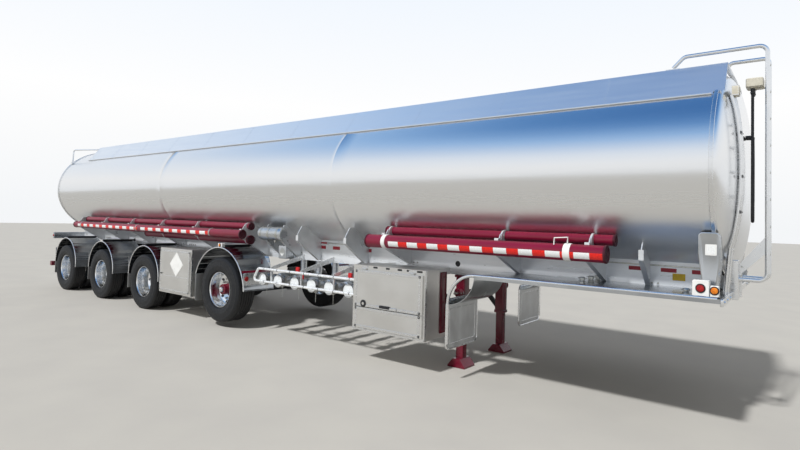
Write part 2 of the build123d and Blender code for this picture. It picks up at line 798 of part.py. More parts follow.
# Guard bars in front of the adaptors, hung from the rail by flat brackets
guard_rear = 900
guard_front = cab_rear - seat
with BuildPart() as guard_bars:
    with BuildLine() as run:
        FilletPolyline((guard_front, -guard_y, guard_high), (guard_rear, -guard_y, guard_high),
                       (guard_rear - 130, -guard_y, guard_low), (guard_front, -guard_y, guard_low), radius=45)
    with BuildSketch(Plane.YZ.offset(guard_front)):
        with Locations((-guard_y, guard_high)):
            Circle(guard_r)
    sweep(path=run.line)
    for x in (1180, 1846, 2500):
        with BuildSketch(Plane.YZ.offset(x)):
            with BuildLine():
                Polyline((-rail_side - seat, rail_low + 10), (-rail_side - seat, rail_low + 90),
                         (-guard_y + 8, guard_high + 40), (-guard_y + 8, guard_low - 10),
                         (-guard_y + 36, guard_low - 10), (-guard_y + 36, guard_high), close=True)
            make_face()
        extrude(amount=10)
save(guard_bars, "guard_bars")

# Tube rails behind the coaming, down to the rear head's ring
with BuildPart() as rear_rails:
    for side in (-1, 1):
        with BuildLine() as run:
            FilletPolyline((coam_rear + 4, side * 668, 3345), (tank_rear + 60, side * 920, 3352),
                           (tank_rear + 60, side * 935, 3030), radius=60)
        with BuildSketch(Plane(origin=run.line @ 0, z_dir=run.line % 0)):
            Circle(16)
        sweep(path=run.line)
        with Locations((tank_rear + 60, side * 935, 3020)):
            Box(50, 50, 60)
    with BuildSketch(Plane.YZ.offset(tank_rear - 50)):
        with Locations((0, tank_z)):
            Ellipse(tank_a + bead_out + seat, tank_b + bead_out + seat)
    extrude(amount=400, mode=Mode.SUBTRACT)
with BuildPart() as coaming_set:
    add(top_coaming.part)
    add(rear_rails.part)
save(coaming_set, "top_coaming")

# Ladder at the front head: rails running over as hoops, rungs, feet and braces
with BuildPart() as ladder:
    foot_z = coam_top_z + seat
    for y, rear, top, bend in ((ladder_near, hoop_rear, hoop_top, 60), (ladder_far, coam_front - 30, foot_z + 60, 50)):
        with BuildLine() as run:
            if y == ladder_near:
                FilletPolyline((rear, -y + 22, foot_z + 17), (rear + 100, -y + 22, top), (ladder_x, -y + 22, top),
                               (ladder_x, -y + 22, ladder_low), (post_front + seat, -y + 22, ladder_low),
                               radius=70)
            else:
                FilletPolyline((rear, -y, foot_z + 4), (rear, -y, top), (ladder_x, -y, top),
                               (ladder_x, -y, ladder_low), (post_front + seat, -y, ladder_low),
                               radius=bend)
        with BuildSketch(Plane(origin=run.line @ 0, z_dir=run.line % 0)):
            Circle(ladder_r)
        sweep(path=run.line)
    with Locations((hoop_rear, -ladder_near + 26, foot_z + 4)):
        Box(130, 52, 8)
    with Locations((coam_front - 30, -ladder_far, foot_z + 4)):
        Box(20, 60, 8)
    with BuildSketch(Plane.XZ.offset(ladder_near - 22 - 5)):
        with BuildLine():
            Polyline((ladder_x - 14, 1760), (ladder_x - 14, 1610), (post_front + seat, 1398),
                     (post_front + seat, 1500), close=True)
        make_face()
    extrude(amount=8)
    for rung in range(8):
        with Locations((ladder_x, -(ladder_near - 22 + ladder_far) / 2, rung_first + rung_step * rung)):
            Cylinder(rung_r, ladder_near - 22 - ladder_far, rotation=(90, 0, 0))
save(ladder, "ladder")

# Hose holder box standing on a rung, with three coupling stubs below
holder_y = -(ladder_near - 22 + ladder_far) / 2
holder_low = rung_first + 6 * rung_step + rung_r + seat
with BuildPart() as hose_holder:
    with Locations((holder_x, holder_y, holder_low + 8 + holder_high / 2)):
        Box(holder_long, 170, holder_high)
    with Locations(((holder_x + ladder_x) / 2 + 4, holder_y, holder_low + 4)):
        Box(ladder_x - holder_x + 30, 60, 8)
    for step in (-46, 0, 46):
        with Locations((holder_x - 16, holder_y + step, holder_low - 24)):
            Cylinder(17, 70)
save(hose_holder, "hose_holder")


def head_at(y, z):
    """How far forward the head's surface stands at a place."""
    return tank_front + head_depth * sqrt(1 - (y / tank_a) ** 2 - ((z - tank_z) / tank_b) ** 2)


# Air hose and cable: from the holder down beside the ladder, round in a bend and up to unions on the head
hose_x = holder_x - 16
hose_top = holder_low - 59 - seat
with BuildPart() as air_hoses:
    for step, r, low, back in ((-46, 14, 1900, 130), (0, 9, 2060, 150)):
        y = holder_y + step
        with BuildLine() as run:
            FilletPolyline((hose_x, y, hose_top), (hose_x, y, low), (hose_x - 4, y + back, low),
                           (hose_x - 4, y + back, union_z - 200), (head_at(y + back, union_z) + 60, y + back, union_z),
                           radius=62)
        with BuildSketch(Plane(origin=run.line @ 0, z_dir=run.line % 0)):
            Circle(r)
        sweep(path=run.line)
        with Locations((head_at(y + back, union_z) + 37, y + back, union_z)):
            Cylinder(r + 6, 66, rotation=(0, 90, 0))
save(air_hoses, "air_hoses")

# Conduits that follow the front head, with the box they come from
with BuildPart() as head_conduits:
    for y, low in ((768, 1652), (712, 1652)):
        part = sqrt(1 - (y / tank_a) ** 2)
        wide = head_depth * part + conduit_off
        high = tank_b * part + 2 * conduit_off
        from_angle = asin((low - tank_z) / high)
        to_angle = asin((conduit_top - tank_z) / high)
        with BuildLine(Plane.XZ.offset(y)) as run:
            EllipticalCenterArc((tank_front, tank_z), wide, high, start_angle=degrees(from_angle),
                                arc_size=degrees(to_angle - from_angle))
        with BuildSketch(Plane(origin=run.line @ 0, z_dir=run.line % 0)):
            Circle(conduit_r)
        sweep(path=run.line)
        knee = run.line @ 0
        with Locations(knee):
            Sphere(conduit_r)
        with BuildSketch(Plane(origin=knee, z_dir=(-36, 0, deck_z + seat - knee.Z))):
            Circle(conduit_r)
        extrude(amount=knee.Z - deck_z + 40)
    for x, z in ((7152, 2700), (7163, 2300), (7148, 1980)):
        with Locations((x, -727, z)):
            Box(12, 110, 30)
    with Locations((7108, -733, conduit_top + 40)):
        Box(58, 106, 90)
    with Locations((tank_front, -700, deck_z + seat - 100)):
        Box(400, 300, 200, mode=Mode.SUBTRACT)
save(head_conduits, "head_conduits")


def fender_arch(x, z, radius, low_front, low_rear, inner, outer):
    """One fender over a wheel: half-round sheet with straight ends and rolled lips on both edges."""
    rings = ((inner, outer, radius + fender_wall, radius), (outer - 8, outer, radius + fender_wall, radius - 14))
    for start, end, big, small in rings:
        with BuildSketch(Plane.XZ.offset(start)) as section:
            with BuildLine():
                Line((x - big, low_rear), (x - big, z))
                ThreePointArc((x - big, z), (x, z + big), (x + big, z))
                Line((x + big, z), (x + big, low_front))
                Line((x + big, low_front), (x + small, low_front))
                Line((x + small, low_front), (x + small, z))
                ThreePointArc((x + small, z), (x, z + small), (x - small, z))
                Line((x - small, z), (x - small, low_rear))
                Line((x - small, low_rear), (x - big, low_rear))
            make_face()
        extrude(section.sketch, amount=end - start)


# Fenders over the twin wheels and the steered wheels, on tube brackets from the rails
fender_mid = fender_top - fender_half
steer_z = steer_tyre_r + steer_lift


def round_steer(radius, angle, along=0):
    """A point on a ring about the steered wheel, moved along the ring's tangent."""
    turn = radians(angle)
    return (steer_x + radius * cos(turn) - along * sin(turn), steer_z + radius * sin(turn) + along * cos(turn))


with BuildPart() as fenders:
    for x in axle_x:
        fender_arch(x, fender_mid, fender_half, fender_low, fender_mid - 5, fender_in, fender_out)
    for start, end, small in ((steer_fender_in, fender_out, steer_fender_r),
                              (fender_out - 8, fender_out, steer_fender_r - 14)):
        big = steer_fender_r + fender_wall
        with BuildSketch(Plane.XZ.offset(start)):
            with BuildLine():
                ThreePointArc(round_steer(big, steer_front), round_steer(big, 57), round_steer(big, steer_back))
                Line(round_steer(big, steer_back), round_steer(big, steer_back, steer_tail))
                Line(round_steer(big, steer_back, steer_tail), round_steer(small, steer_back, steer_tail))
                Line(round_steer(small, steer_back, steer_tail), round_steer(small, steer_back))
                ThreePointArc(round_steer(small, steer_back), round_steer(small, 57), round_steer(small, steer_front))
                Line(round_steer(small, steer_front), round_steer(big, steer_front))
            make_face()
        extrude(amount=end - start)
    for x, top in [(x, fender_top) for x in axle_x] + [(steer_x, steer_z + steer_fender_r)]:
        with Locations((x, -(rail_side + seat + fender_out - 40) / 2, top + fender_wall + bracket_r - 1)):
            Cylinder(bracket_r, fender_out - 40 - rail_side - seat, rotation=(90, 0, 0))
    with Locations((steer_x, -(marker_out - 30), marker_z)):
        Box(110, 60, 64)
    mirror(about=Plane.XZ)
save(fenders, "fenders")

# Mudflaps behind each twin pair and under the curl of the front decks
with BuildPart() as mudflaps:
    for x in axle_x:
        with Locations((x - fender_half - fender_wall - seat - flap_thick / 2, -(fender_in + fender_out) / 2,
                        (flap_low + flap_top) / 2)):
            Box(flap_thick, fender_out - fender_in - 20, flap_top - flap_low)
    with BuildSketch(Plane.YZ.offset(apron_x - flap_thick - seat)):
        with Locations((-(deck_in + deck_out) / 2, (flap_front_low + deck_z - curl_r + 60) / 2)):
            RectangleRounded(deck_out - deck_in - 20, deck_z - curl_r + 60 - flap_front_low, 60)
    extrude(amount=flap_thick)
    mirror(about=Plane.XZ)
save(mudflaps, "mudflaps")

# Axle beams with spindles
with BuildPart() as axle_beams:
    for x in axle_x:
        with Locations((x, 0, tyre_r)):
            Cylinder(axle_r, 2 * axle_half, rotation=(90, 0, 0))
            Cylinder(spindle_r, 2 * (twin_y + 90), rotation=(90, 0, 0))
save(axle_beams, "axle_beams")

# Trailing arm suspension: hangers, arms, pedestals and air springs
arm_half = 40
arm_wide = 80
hanger_ahead = 520
pivot_z = 610
pivot_r = 18
arm_top = tyre_r + axle_r + 40
bag_back = 330
bag_r = 115
bag_low = 800
with BuildPart() as suspension_hangers:
    for x in axle_x:
        for side in (-1, 1):
            with BuildSketch(Plane.XZ.offset(-side * rail_y - 50)):
                with BuildLine():
                    Polyline((x + hanger_ahead - 130, rail_low - seat), (x + hanger_ahead + 130, rail_low - seat),
                             (x + hanger_ahead + 60, pivot_z - 50), (x + hanger_ahead - 60, pivot_z - 50), close=True)
                make_face()
            extrude(amount=100)
    for x in axle_x:
        for side in (-1, 1):
            with Locations((x + hanger_ahead - 30, side * rail_y, pivot_z - 10)):
                Box(200, arm_wide + 2 * seat, 120, mode=Mode.SUBTRACT)
            with Locations((x + hanger_ahead, side * rail_y, pivot_z)):
                Cylinder(pivot_r, arm_wide + 16, rotation=(90, 0, 0))
save(suspension_hangers, "suspension_hangers")
with BuildPart() as trailing_arms:
    for x in axle_x:
        for side in (-1, 1):
            with BuildSketch(Plane.XZ.offset(-side * rail_y - arm_wide / 2)):
                with BuildLine():
                    Polyline((x + hanger_ahead + 35, pivot_z - 35), (x + hanger_ahead + 35, pivot_z + 35),
                             (x + 100, arm_top), (x - bag_back - bag_r, arm_top),
                             (x - bag_back - bag_r, arm_top - 40), (x - 90, tyre_r + 40),
                             (x + 90, tyre_r + 40), close=True)
                make_face()
                with Locations((x + hanger_ahead, pivot_z)):
                    Circle(pivot_r + seat, mode=Mode.SUBTRACT)
                with Locations((x, tyre_r)):
                    Circle(axle_r + seat, mode=Mode.SUBTRACT)
            extrude(amount=arm_wide)
            with BuildSketch(Plane.XY.offset(arm_top - 10)):
                with Locations((x - bag_back, side * rail_y)):
                    Circle(70)
            extrude(amount=bag_low - seat - arm_top + 10)
save(trailing_arms, "trailing_arms")
with BuildPart() as air_springs:
    for x in axle_x:
        for side in (-1, 1):
            with BuildSketch(Plane.XY.offset(bag_low)):
                with Locations((x - bag_back, side * rail_y)):
                    Circle(bag_r)
            extrude(amount=rail_low - seat - bag_low)
save(air_springs, "air_springs")

# Brake chambers behind the axle beams
with BuildPart() as brake_chambers:
    for x in axle_x:
        for side in (-1, 1):
            with Locations((x - axle_r - 160, side * 340, tyre_r)):
                Cylinder(72, 190, rotation=(0, 90, 0))
            with Locations((x - axle_r - 38, side * 340, tyre_r)):
                Box(76 - 2 * seat, 60, 60)
save(brake_chambers, "brake_chambers")

# Steered axle beam with knuckle eyes, carried by two brackets from the rails
with BuildPart() as steer_axle:
    with Locations((steer_x, 0, steer_z)):
        Box(120, 2 * (knuckle_y - 30), 110)
    for side in (-1, 1):
        with Locations((steer_x, side * knuckle_y, steer_z)):
            Cylinder(eye_r, 110)
    for side in (-1, 1):
        with Locations((steer_x, side * knuckle_y, steer_z)):
            Cylinder(knuckle_r + bore_gap, 200, mode=Mode.SUBTRACT)
        with BuildSketch(Plane.XZ.offset(-side * rail_y - 45)):
            with BuildLine():
                Polyline((steer_x - 60, steer_z + 55), (steer_x + 60, steer_z + 55),
                         (steer_x + 160, rail_low - seat), (steer_x - 160, rail_low - seat), close=True)
            make_face()
        extrude(amount=90)
save(steer_axle, "steer_axle")

# Tie rod behind the steered axle, on pins at the ends of the knuckle arms
arm_back = 230
arm_z = steer_z - 55 - 6 - 20
with BuildPart() as tie_rod:
    with Locations((steer_x - arm_back, 0, arm_z - 20 - seat - 22)):
        Cylinder(20, 2 * knuckle_y, rotation=(90, 0, 0))
    for side in (-1, 1):
        with Locations((steer_x - arm_back, side * knuckle_y, arm_z - 20 - seat - 22)):
            Cylinder(32, 44)
        with Locations((steer_x - arm_back, side * knuckle_y, arm_z)):
            Cylinder(12, 80)
save(tie_rod, "tie_rod")

# Steered knuckles: upright pin in a fork, with the spindle
fork_gap = 6
fork_y = knuckle_y + 45 + fork_gap + 15
for side, label in ((-1, "right"), (1, "left")):
    with BuildPart() as knuckle:
        with Locations((steer_x, side * knuckle_y, steer_z)):
            Cylinder(knuckle_r, 2 * (55 + fork_gap + 40))
        for end in (-1, 1):
            with Locations((steer_x, side * (knuckle_y + 14), steer_z + end * (55 + fork_gap + 20))):
                Box(90, 120, 40)
        with Locations((steer_x, side * (fork_y), steer_z)):
            Box(100, 30, 2 * (55 + fork_gap + 40))
        with Locations((steer_x - arm_back / 2, side * knuckle_y, arm_z)):
            Box(arm_back + 60, 60, 40)
        with Locations((steer_x - arm_back, side * knuckle_y, arm_z)):
            Cylinder(12 + bore_gap, 60, mode=Mode.SUBTRACT)
        with Locations((steer_x, side * (fork_y + steer_hub_end - 40) / 2, steer_z)):
            Cylinder(spindle_r, steer_hub_end - 40 - fork_y, rotation=(90, 0, 0))
    save(knuckle, f"steer_knuckle_{label}")


def tyre_ring(x, y, z, radius, wide, rim):
    """A tyre turned about its axle: crown, shoulders, walls and beads."""
    half = wide / 2
    outline = ((rim, 0.72), (rim + 40, 0.97), (rim + 110, 1.0), (radius - 40, 0.93), (radius - 8, 0.8), (radius, 0.7))
    points = [(x + r, y - half * k) for r, k in outline] + [(x + r, y + half * k) for r, k in reversed(outline)]
    with BuildSketch(Plane.XY.offset(z)) as section:
        with BuildLine():
            Polyline(*points, close=True)
        make_face()
    revolve(section.sketch, axis=Axis((x, 0, z), (0, 1, 0)))


def wheel_ring(x, z, points):
    """A turned wheel, from pairs of radius and distance along the axle."""
    with BuildSketch(Plane.XY.offset(z)) as section:
        with BuildLine():
            Polyline(*[(x + r, y) for r, y in points], close=True)
        make_face()
    revolve(section.sketch, axis=Axis((x, 0, z), (0, 1, 0)))


# Twin wheel sets: two tyres, and two rims bolted to one hub with its drum
rim_in = rim_r - rim_wall
bore = spindle_r + bore_gap
twin_edge = twin_half + rim_wide / 2
drum_in = drum_r - drum_wall
disc_half = disc_thick / 2
for axle, x in enumerate(axle_x, 1):
    for side, label in ((-1, "right"), (1, "left")):
        with BuildPart() as tyres:
            for out in (-1, 1):
                tyre_ring(x, side * twin_y + out * twin_half, tyre_r, tyre_r, tyre_wide, rim_r + seat)
        save(tyres, f"tyres_{axle}_{label}")
        ring = [(bore, -hub_in), (90, -hub_in), (90, -hub_in + 40), (drum_in, -70), (drum_in, -drum_wide),
                (drum_r, -drum_wide), (drum_r, -60), (hub_r, -20), (hub_r, -disc_half), (rim_in, -disc_half),
                (rim_in, -twin_edge), (rim_r, -twin_edge), (rim_r, twin_edge), (rim_in, twin_edge),
                (rim_in, disc_half), (hub_r, disc_half), (100, disc_half), (90, hub_out), (bore, hub_out)]
        with BuildPart() as wheel:
            wheel_ring(x, tyre_r, [(r, side * (twin_y + y)) for r, y in ring])
        save(wheel, f"wheels_{axle}_{label}")

# Single wheels on the steered axle
steer_half = steer_rim_wide / 2
for side, label in ((-1, "right"), (1, "left")):
    with BuildPart() as tyre:
        tyre_ring(steer_x, side * steer_y, steer_z, steer_tyre_r, steer_tyre_wide, rim_r + seat)
    save(tyre, f"steer_tyre_{label}")
    ring = [(bore, 930), (120, 930), (120, steer_disc_y - disc_half), (rim_in, steer_disc_y - disc_half),
            (rim_in, steer_y - steer_half), (rim_r, steer_y - steer_half), (rim_r, steer_y + steer_half),
            (rim_in, steer_y + steer_half), (rim_in, steer_disc_y + disc_half), (110, steer_disc_y + disc_half),
            (steer_hub_r, steer_disc_y + 60), (steer_hub_r, steer_hub_end), (bore, steer_hub_end)]
    with BuildPart() as wheel:
        wheel_ring(steer_x, steer_z, [(r, side * y) for r, y in ring])
    save(wheel, f"steer_wheel_{label}")

# Rear bumper on posts, light bar and lamps
with BuildPart() as rear_bumper:
    with Locations((bumper_rear + bumper_deep / 2, 0, bumper_low + bumper_high / 2)):
        Box(bumper_deep, 2 * bumper_half, bumper_high)
    for side in (-1, 1):
        with BuildSketch(Plane.XZ.offset(-side * rail_y - 40)):
            with BuildLine():
                Polyline((bumper_rear + bumper_deep, bumper_low), (bumper_rear + bumper_deep, bumper_low + bumper_high),
                         (rail_rear + 200, rail_low - seat), (rail_rear, rail_low - seat),
                         (bumper_rear, bumper_low + bumper_high), (bumper_rear, bumper_low), close=True)
            make_face()
        extrude(amount=80)
with BuildPart() as light_bar:
    with Locations((rail_rear - seat - light_bar_thick / 2, 0, light_bar_low + light_bar_high / 2)):
        Box(light_bar_thick, 2 * 1250, light_bar_high)
with BuildPart() as bumper_rear:
    add(rear_bumper.part)
    add(light_bar.part)
save(bumper_rear, "rear_bumper")
with BuildPart() as rear_lamps:
    for side in (-1, 1):
        for y in (880, 1010, 1140):
            with Locations((rail_rear - 2 * seat - light_bar_thick - lamp_thick / 2, side * y,
                            light_bar_low + light_bar_high / 2)):
                Cylinder(lamp_r, lamp_thick, rotation=(0, 90, 0))
save(rear_lamps, "rear_lamps")
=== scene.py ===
import bmesh
import bpy
import numpy as np
from math import cos, pi, radians, sin, sqrt, tan
from mathutils import Matrix, Vector


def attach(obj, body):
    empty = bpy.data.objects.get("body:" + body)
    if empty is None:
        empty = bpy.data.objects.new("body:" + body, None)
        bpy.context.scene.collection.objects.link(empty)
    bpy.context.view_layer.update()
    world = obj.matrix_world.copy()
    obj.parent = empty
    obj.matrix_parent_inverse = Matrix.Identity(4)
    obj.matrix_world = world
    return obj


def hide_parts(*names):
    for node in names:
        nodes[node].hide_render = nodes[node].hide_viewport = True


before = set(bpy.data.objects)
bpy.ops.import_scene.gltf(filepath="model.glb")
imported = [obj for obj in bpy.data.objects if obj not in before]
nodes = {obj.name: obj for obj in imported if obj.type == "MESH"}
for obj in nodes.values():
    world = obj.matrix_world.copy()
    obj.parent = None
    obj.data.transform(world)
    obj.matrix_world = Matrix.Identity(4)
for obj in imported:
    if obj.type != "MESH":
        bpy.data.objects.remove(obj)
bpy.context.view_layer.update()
scene = bpy.context.scene

# Camera
# It stands where the photographer stood, at eye height off the trailer's front
# corner, with the photograph's field of view in pixels and a small shift.
photo_wide, photo_high, sensor_wide = 800, 450, 36
focal, centre_x, centre_y = 528.4797, 411.7595, 200.874
yaw, pitch, roll = 0.6442, 0.0363, 0.0264
eye = (7.6394, -6.3512, 1.8288)
ahead = Vector((-sin(yaw) * cos(pitch), cos(yaw) * cos(pitch), sin(pitch)))
right = Vector((cos(yaw), sin(yaw), 0))
upward = right.cross(ahead)
right, upward = right * cos(roll) + upward * sin(roll), upward * cos(roll) - right * sin(roll)
camera = bpy.data.objects.new("camera", bpy.data.cameras.new("camera"))
scene.collection.objects.link(camera)
camera.matrix_world = Matrix.Translation(eye) @ Matrix((right, upward, -ahead)).transposed().to_4x4()
camera.data.lens = focal * sensor_wide / photo_wide
camera.data.shift_x = (photo_wide / 2 - centre_x) / photo_wide
camera.data.shift_y = (centre_y - photo_high / 2) / photo_wide
camera.data.clip_end = 400
scene.camera = camera


# Floor, sky and lamps
# A plain pale concrete floor under a pale sky that fades to white at the
# horizon, a soft sun from the kerb side and the sky's own even light.
def shade(code):
    """Linear colour of an sRGB hex value: each channel is divided by 255 and put through the sRGB curve."""
    channels = [int(code[i:i + 2], 16) / 255 for i in (1, 3, 5)]
    return [c / 12.92 if c <= 0.04045 else ((c + 0.055) / 1.055) ** 2.4 for c in channels] + [1]


def add(tree, kind, stops=(), **inputs):
    """Add a node with its settings and links. A name with underscores for spaces is a socket that takes a
    value or another node's output, or else a setting; a colour ramp takes (place, hex colour) stops."""
    made = tree.nodes.new(kind)
    while stops and len(made.color_ramp.elements) < len(stops):
        made.color_ramp.elements.new(0.5)
    if stops:
        for element, (place, code) in zip(made.color_ramp.elements, stops):
            element.position = place
            element.color = shade(code)
    for key, value in inputs.items():
        name = key.replace("_", " ")
        found = [s for s in made.inputs if s.identifier == key or (s.name == name and s.enabled)]
        if not found:
            setattr(made, key, value)
        elif isinstance(value, bpy.types.NodeSocket):
            tree.links.new(value, found[0])
        else:
            found[0].default_value = value
    return made


def finish(name, code, metallic=0.0, roughness=0.5):
    """Start a material from its colour, metallic and roughness; gives the material, its
    tree and its shader."""
    made = bpy.data.materials.new(name)
    made.use_nodes = True
    shader = made.node_tree.nodes["Principled BSDF"]
    for key, value in {"Base Color": shade(code), "Metallic": metallic, "Roughness": roughness}.items():
        shader.inputs[key].default_value = value
    return made, made.node_tree, shader


def pattern(tree, *size, kind="Noise", output="Fac", **settings):
    """A texture on Object coordinates, which are multiplied by 1 over its grains' size in
    metres along X, Y and Z."""
    settings = {"Scale": 1.0, **({"Detail": 3.0} if kind == "Noise" else {}), **settings}
    spot = add(tree, "ShaderNodeTexCoord").outputs["Object"]
    scaled = add(tree, "ShaderNodeMapping", Vector=spot, Scale=[1 / s for s in size]).outputs["Vector"]
    return add(tree, f"ShaderNodeTex{kind}", Vector=scaled, **settings).outputs[output]


def vary(tree, shader, factor, **sockets):
    """Let a factor from 0 to 1 carry a shader's sockets: the colour between two hex values and the roughness
    between two values over its middle range, 0.3 to 0.7, and the normal by a bump of a depth in metres."""
    for socket, span in sockets.items():
        if socket == "Base_Color":
            made = add(tree, "ShaderNodeValToRGB", stops=((0.32, span[0]), (0.68, span[1])), Fac=factor)
        elif socket == "Roughness":
            made = add(tree, "ShaderNodeMapRange", Value=factor, From_Min=0.3, From_Max=0.7, To_Min=span[0],
                       To_Max=span[1])
        else:
            made = add(tree, "ShaderNodeBump", Height=factor, Distance=span, Strength=1.0)
        tree.links.new(made.outputs[0], shader.inputs[socket.replace("_", " ")])


# Cast and power-floated concrete: an even pale grey with soft, wide clouds in it.
concrete, tree, shader = finish("cast_concrete", "#b4b1ab", roughness=0.85)
vary(tree, shader, pattern(tree, 0.8, 0.8, 0.8, Detail=6.0), Base_Color=("#b9b6b0", "#bebbb4"))
floor_reach = 80
floor_mesh = bpy.data.meshes.new("floor")
floor_mesh.from_pydata([(x * floor_reach, y * floor_reach, 0)
                        for x, y in ((-1, -1), (1, -1), (1, 1), (-1, 1))],
                       [], [(0, 1, 2, 3)])
floor_mesh.materials.append(concrete)
floor = bpy.data.objects.new("floor", floor_mesh)
scene.collection.objects.link(floor)
world = bpy.data.worlds.new("sky")
scene.world = world
world.use_nodes = True
tree = world.node_tree
height = add(tree, "ShaderNodeSeparateXYZ",
             Vector=add(tree, "ShaderNodeTexCoord").outputs["Generated"]).outputs["Z"]
sky_stops = ((0.0, "#f4f6f8"), (0.2, "#ffffff"), (0.46, "#edf5ff"), (0.74, "#9cc3f0"), (0.9, "#5f90ca"),
             (1.0, "#4374b2"))
sky = add(tree, "ShaderNodeValToRGB", stops=sky_stops, Fac=height).outputs["Color"]
even_strength = 0.36
ray = add(tree, "ShaderNodeLightPath").outputs
seen = add(tree, "ShaderNodeMath", operation="MAXIMUM", Value=ray["Is Camera Ray"],
           Value_001=ray["Is Glossy Ray"])
through = add(tree, "ShaderNodeMath", operation="MAXIMUM", Value=seen.outputs[0],
              Value_001=ray["Is Transmission Ray"])
backdrop = tree.nodes["Background"]
tree.links.new(sky, backdrop.inputs["Color"])
even = add(tree, "ShaderNodeBackground", Color=shade("#ffffff"), Strength=even_strength)
mixed = add(tree, "ShaderNodeMixShader", Fac=through.outputs[0], Shader=even.outputs[0],
            Shader_001=backdrop.outputs[0])
tree.links.new(mixed.outputs[0], tree.nodes["World Output"].inputs["Surface"])
sun = bpy.data.objects.new("sun", bpy.data.lights.new("sun", "SUN"))
scene.collection.objects.link(sun)
sun_power, sun_width, sun_way = 3.3, 4, (0.06, 0.78, -1)
sun.data.energy = sun_power
sun.visible_glossy = False
sun.data.angle = radians(sun_width)
sun.rotation_mode = "QUATERNION"
sun.rotation_quaternion = Vector(sun_way).to_track_quat("-Z", "Y")
scene.view_settings.view_transform = "Standard"


# Tank shell
# Rolled and polished aluminium sheet, welded round at two seams, with dished
# heads pressed into it and a bead ring at each end. It carries everything.
def grid(points, wrap_rows=False, wrap_columns=False):
    """Corners and faces of a grid of points with rows, columns and XYZ: each face joins a
    point with its neighbours."""
    rows, columns = points.shape[:2]
    i = np.arange(rows if wrap_rows else rows - 1)
    j = np.arange(columns if wrap_columns else columns - 1)
    i, j = np.meshgrid(i, j, indexing="ij")
    after, beside = (i + 1) % rows, (j + 1) % columns
    faces = np.stack([i * columns + j, after * columns + j, after * columns + beside,
                      i * columns + beside], -1)
    return points.reshape(-1, 3), faces.reshape(-1, 4).tolist()


def join(*parts):
    """Several meshes, each as corners and faces, as one."""
    verts, faces, count = [], [], 0
    for part_verts, part_faces in parts:
        verts.append(np.asarray(part_verts, float))
        faces += [[corner + count for corner in face] for face in part_faces]
        count += len(part_verts)
    return np.concatenate(verts), faces


def piece(name, parts, material, body="trailer", replaces=(), angle=35):
    """Join parts into one named piece at the origin, weld its seams, turn its faces outwards, shade it smooth
    under an angle, and let it ride on a body."""
    verts, faces = join(*parts)
    mesh = bpy.data.meshes.new(name)
    mesh.from_pydata(verts, [], faces)
    mesh.materials.append(material)
    work = bmesh.new()
    work.from_mesh(mesh)
    bmesh.ops.remove_doubles(work, verts=work.verts, dist=1e-5)
    bmesh.ops.recalc_face_normals(work, faces=work.faces)
    work.to_mesh(mesh)
    work.free()
    mesh.polygons.foreach_set("use_smooth", [angle > 0] * len(mesh.polygons))
    if angle > 0:
        mesh.set_sharp_from_angle(angle=radians(angle))
    made = bpy.data.objects.new(name, mesh)
    scene.collection.objects.link(made)
    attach(made, body)
    if replaces:
        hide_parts(*replaces)
    return made


tank_half_wide, tank_half_high, tank_middle = 1.2, 1.01, 2.365
tank_rear, tank_front, dish, ring_count = -7.095, 6.987, 0.19, 192
seam_places = (-2.235, 2.36)
film_top, film_full, film_rough = 2.25, 1.75, 0.2
# Rolled aluminium sheet polished to a mirror: it shows sky and floor in soft
# waves, and road film dulls the belly. The polish leaves streaks of a millimetre
# along the sheet, drawn a centimetre wide so that they show.
polish, tree, shader = finish("polished_aluminium_sheet", "#e8e9ea", metallic=1.0, roughness=0.2)
vary(tree, shader, pattern(tree, 1.6, 0.5, 0.9, Detail=1.0), Normal=0.004)
height = add(tree, "ShaderNodeSeparateXYZ",
             Vector=add(tree, "ShaderNodeTexCoord").outputs["Object"]).outputs["Z"]
film = add(tree, "ShaderNodeMapRange", Value=height, From_Min=film_top, From_Max=film_full, To_Min=0.0,
           To_Max=film_rough)
streaks = add(tree, "ShaderNodeMapRange", Value=pattern(tree, 0.6, 0.01, 0.01), From_Min=0.3, From_Max=0.7,
              To_Min=0.17, To_Max=0.25)
dull = add(tree, "ShaderNodeMath", operation="ADD", Value=streaks.outputs["Result"],
           Value_001=film.outputs["Result"])
tree.links.new(dull.outputs["Value"], shader.inputs["Roughness"])


def tank_rows(x, grow=0.0):
    """Rings of the tank's ellipse at places along X, each with its own growth: y = a cos
    t, z = middle + b sin t."""
    t = np.linspace(0, 2 * pi, ring_count, endpoint=False)
    x, grow = np.broadcast_arrays(np.asarray(x, float), np.asarray(grow, float))
    points = np.zeros((len(x), ring_count, 3))
    points[..., 0] = x[:, None]
    points[..., 1] = (tank_half_wide + grow[:, None]) * np.cos(t)
    points[..., 2] = tank_middle + (tank_half_high + grow[:, None]) * np.sin(t)
    return points


def head_rows(x, sign):
    """Rings of a dished head: at an angle s from its rim, x moves out by dish * sin s and
    the ring shrinks to cos s."""
    s = np.linspace(0, pi / 2, 26)
    t = np.linspace(0, 2 * pi, ring_count, endpoint=False)
    points = np.zeros((len(s), ring_count, 3))
    points[..., 0] = x + sign * dish * np.sin(s)[:, None]
    points[..., 1] = tank_half_wide * np.cos(s)[:, None] * np.cos(t)
    points[..., 2] = tank_middle + tank_half_high * np.cos(s)[:, None] * np.sin(t)
    return points


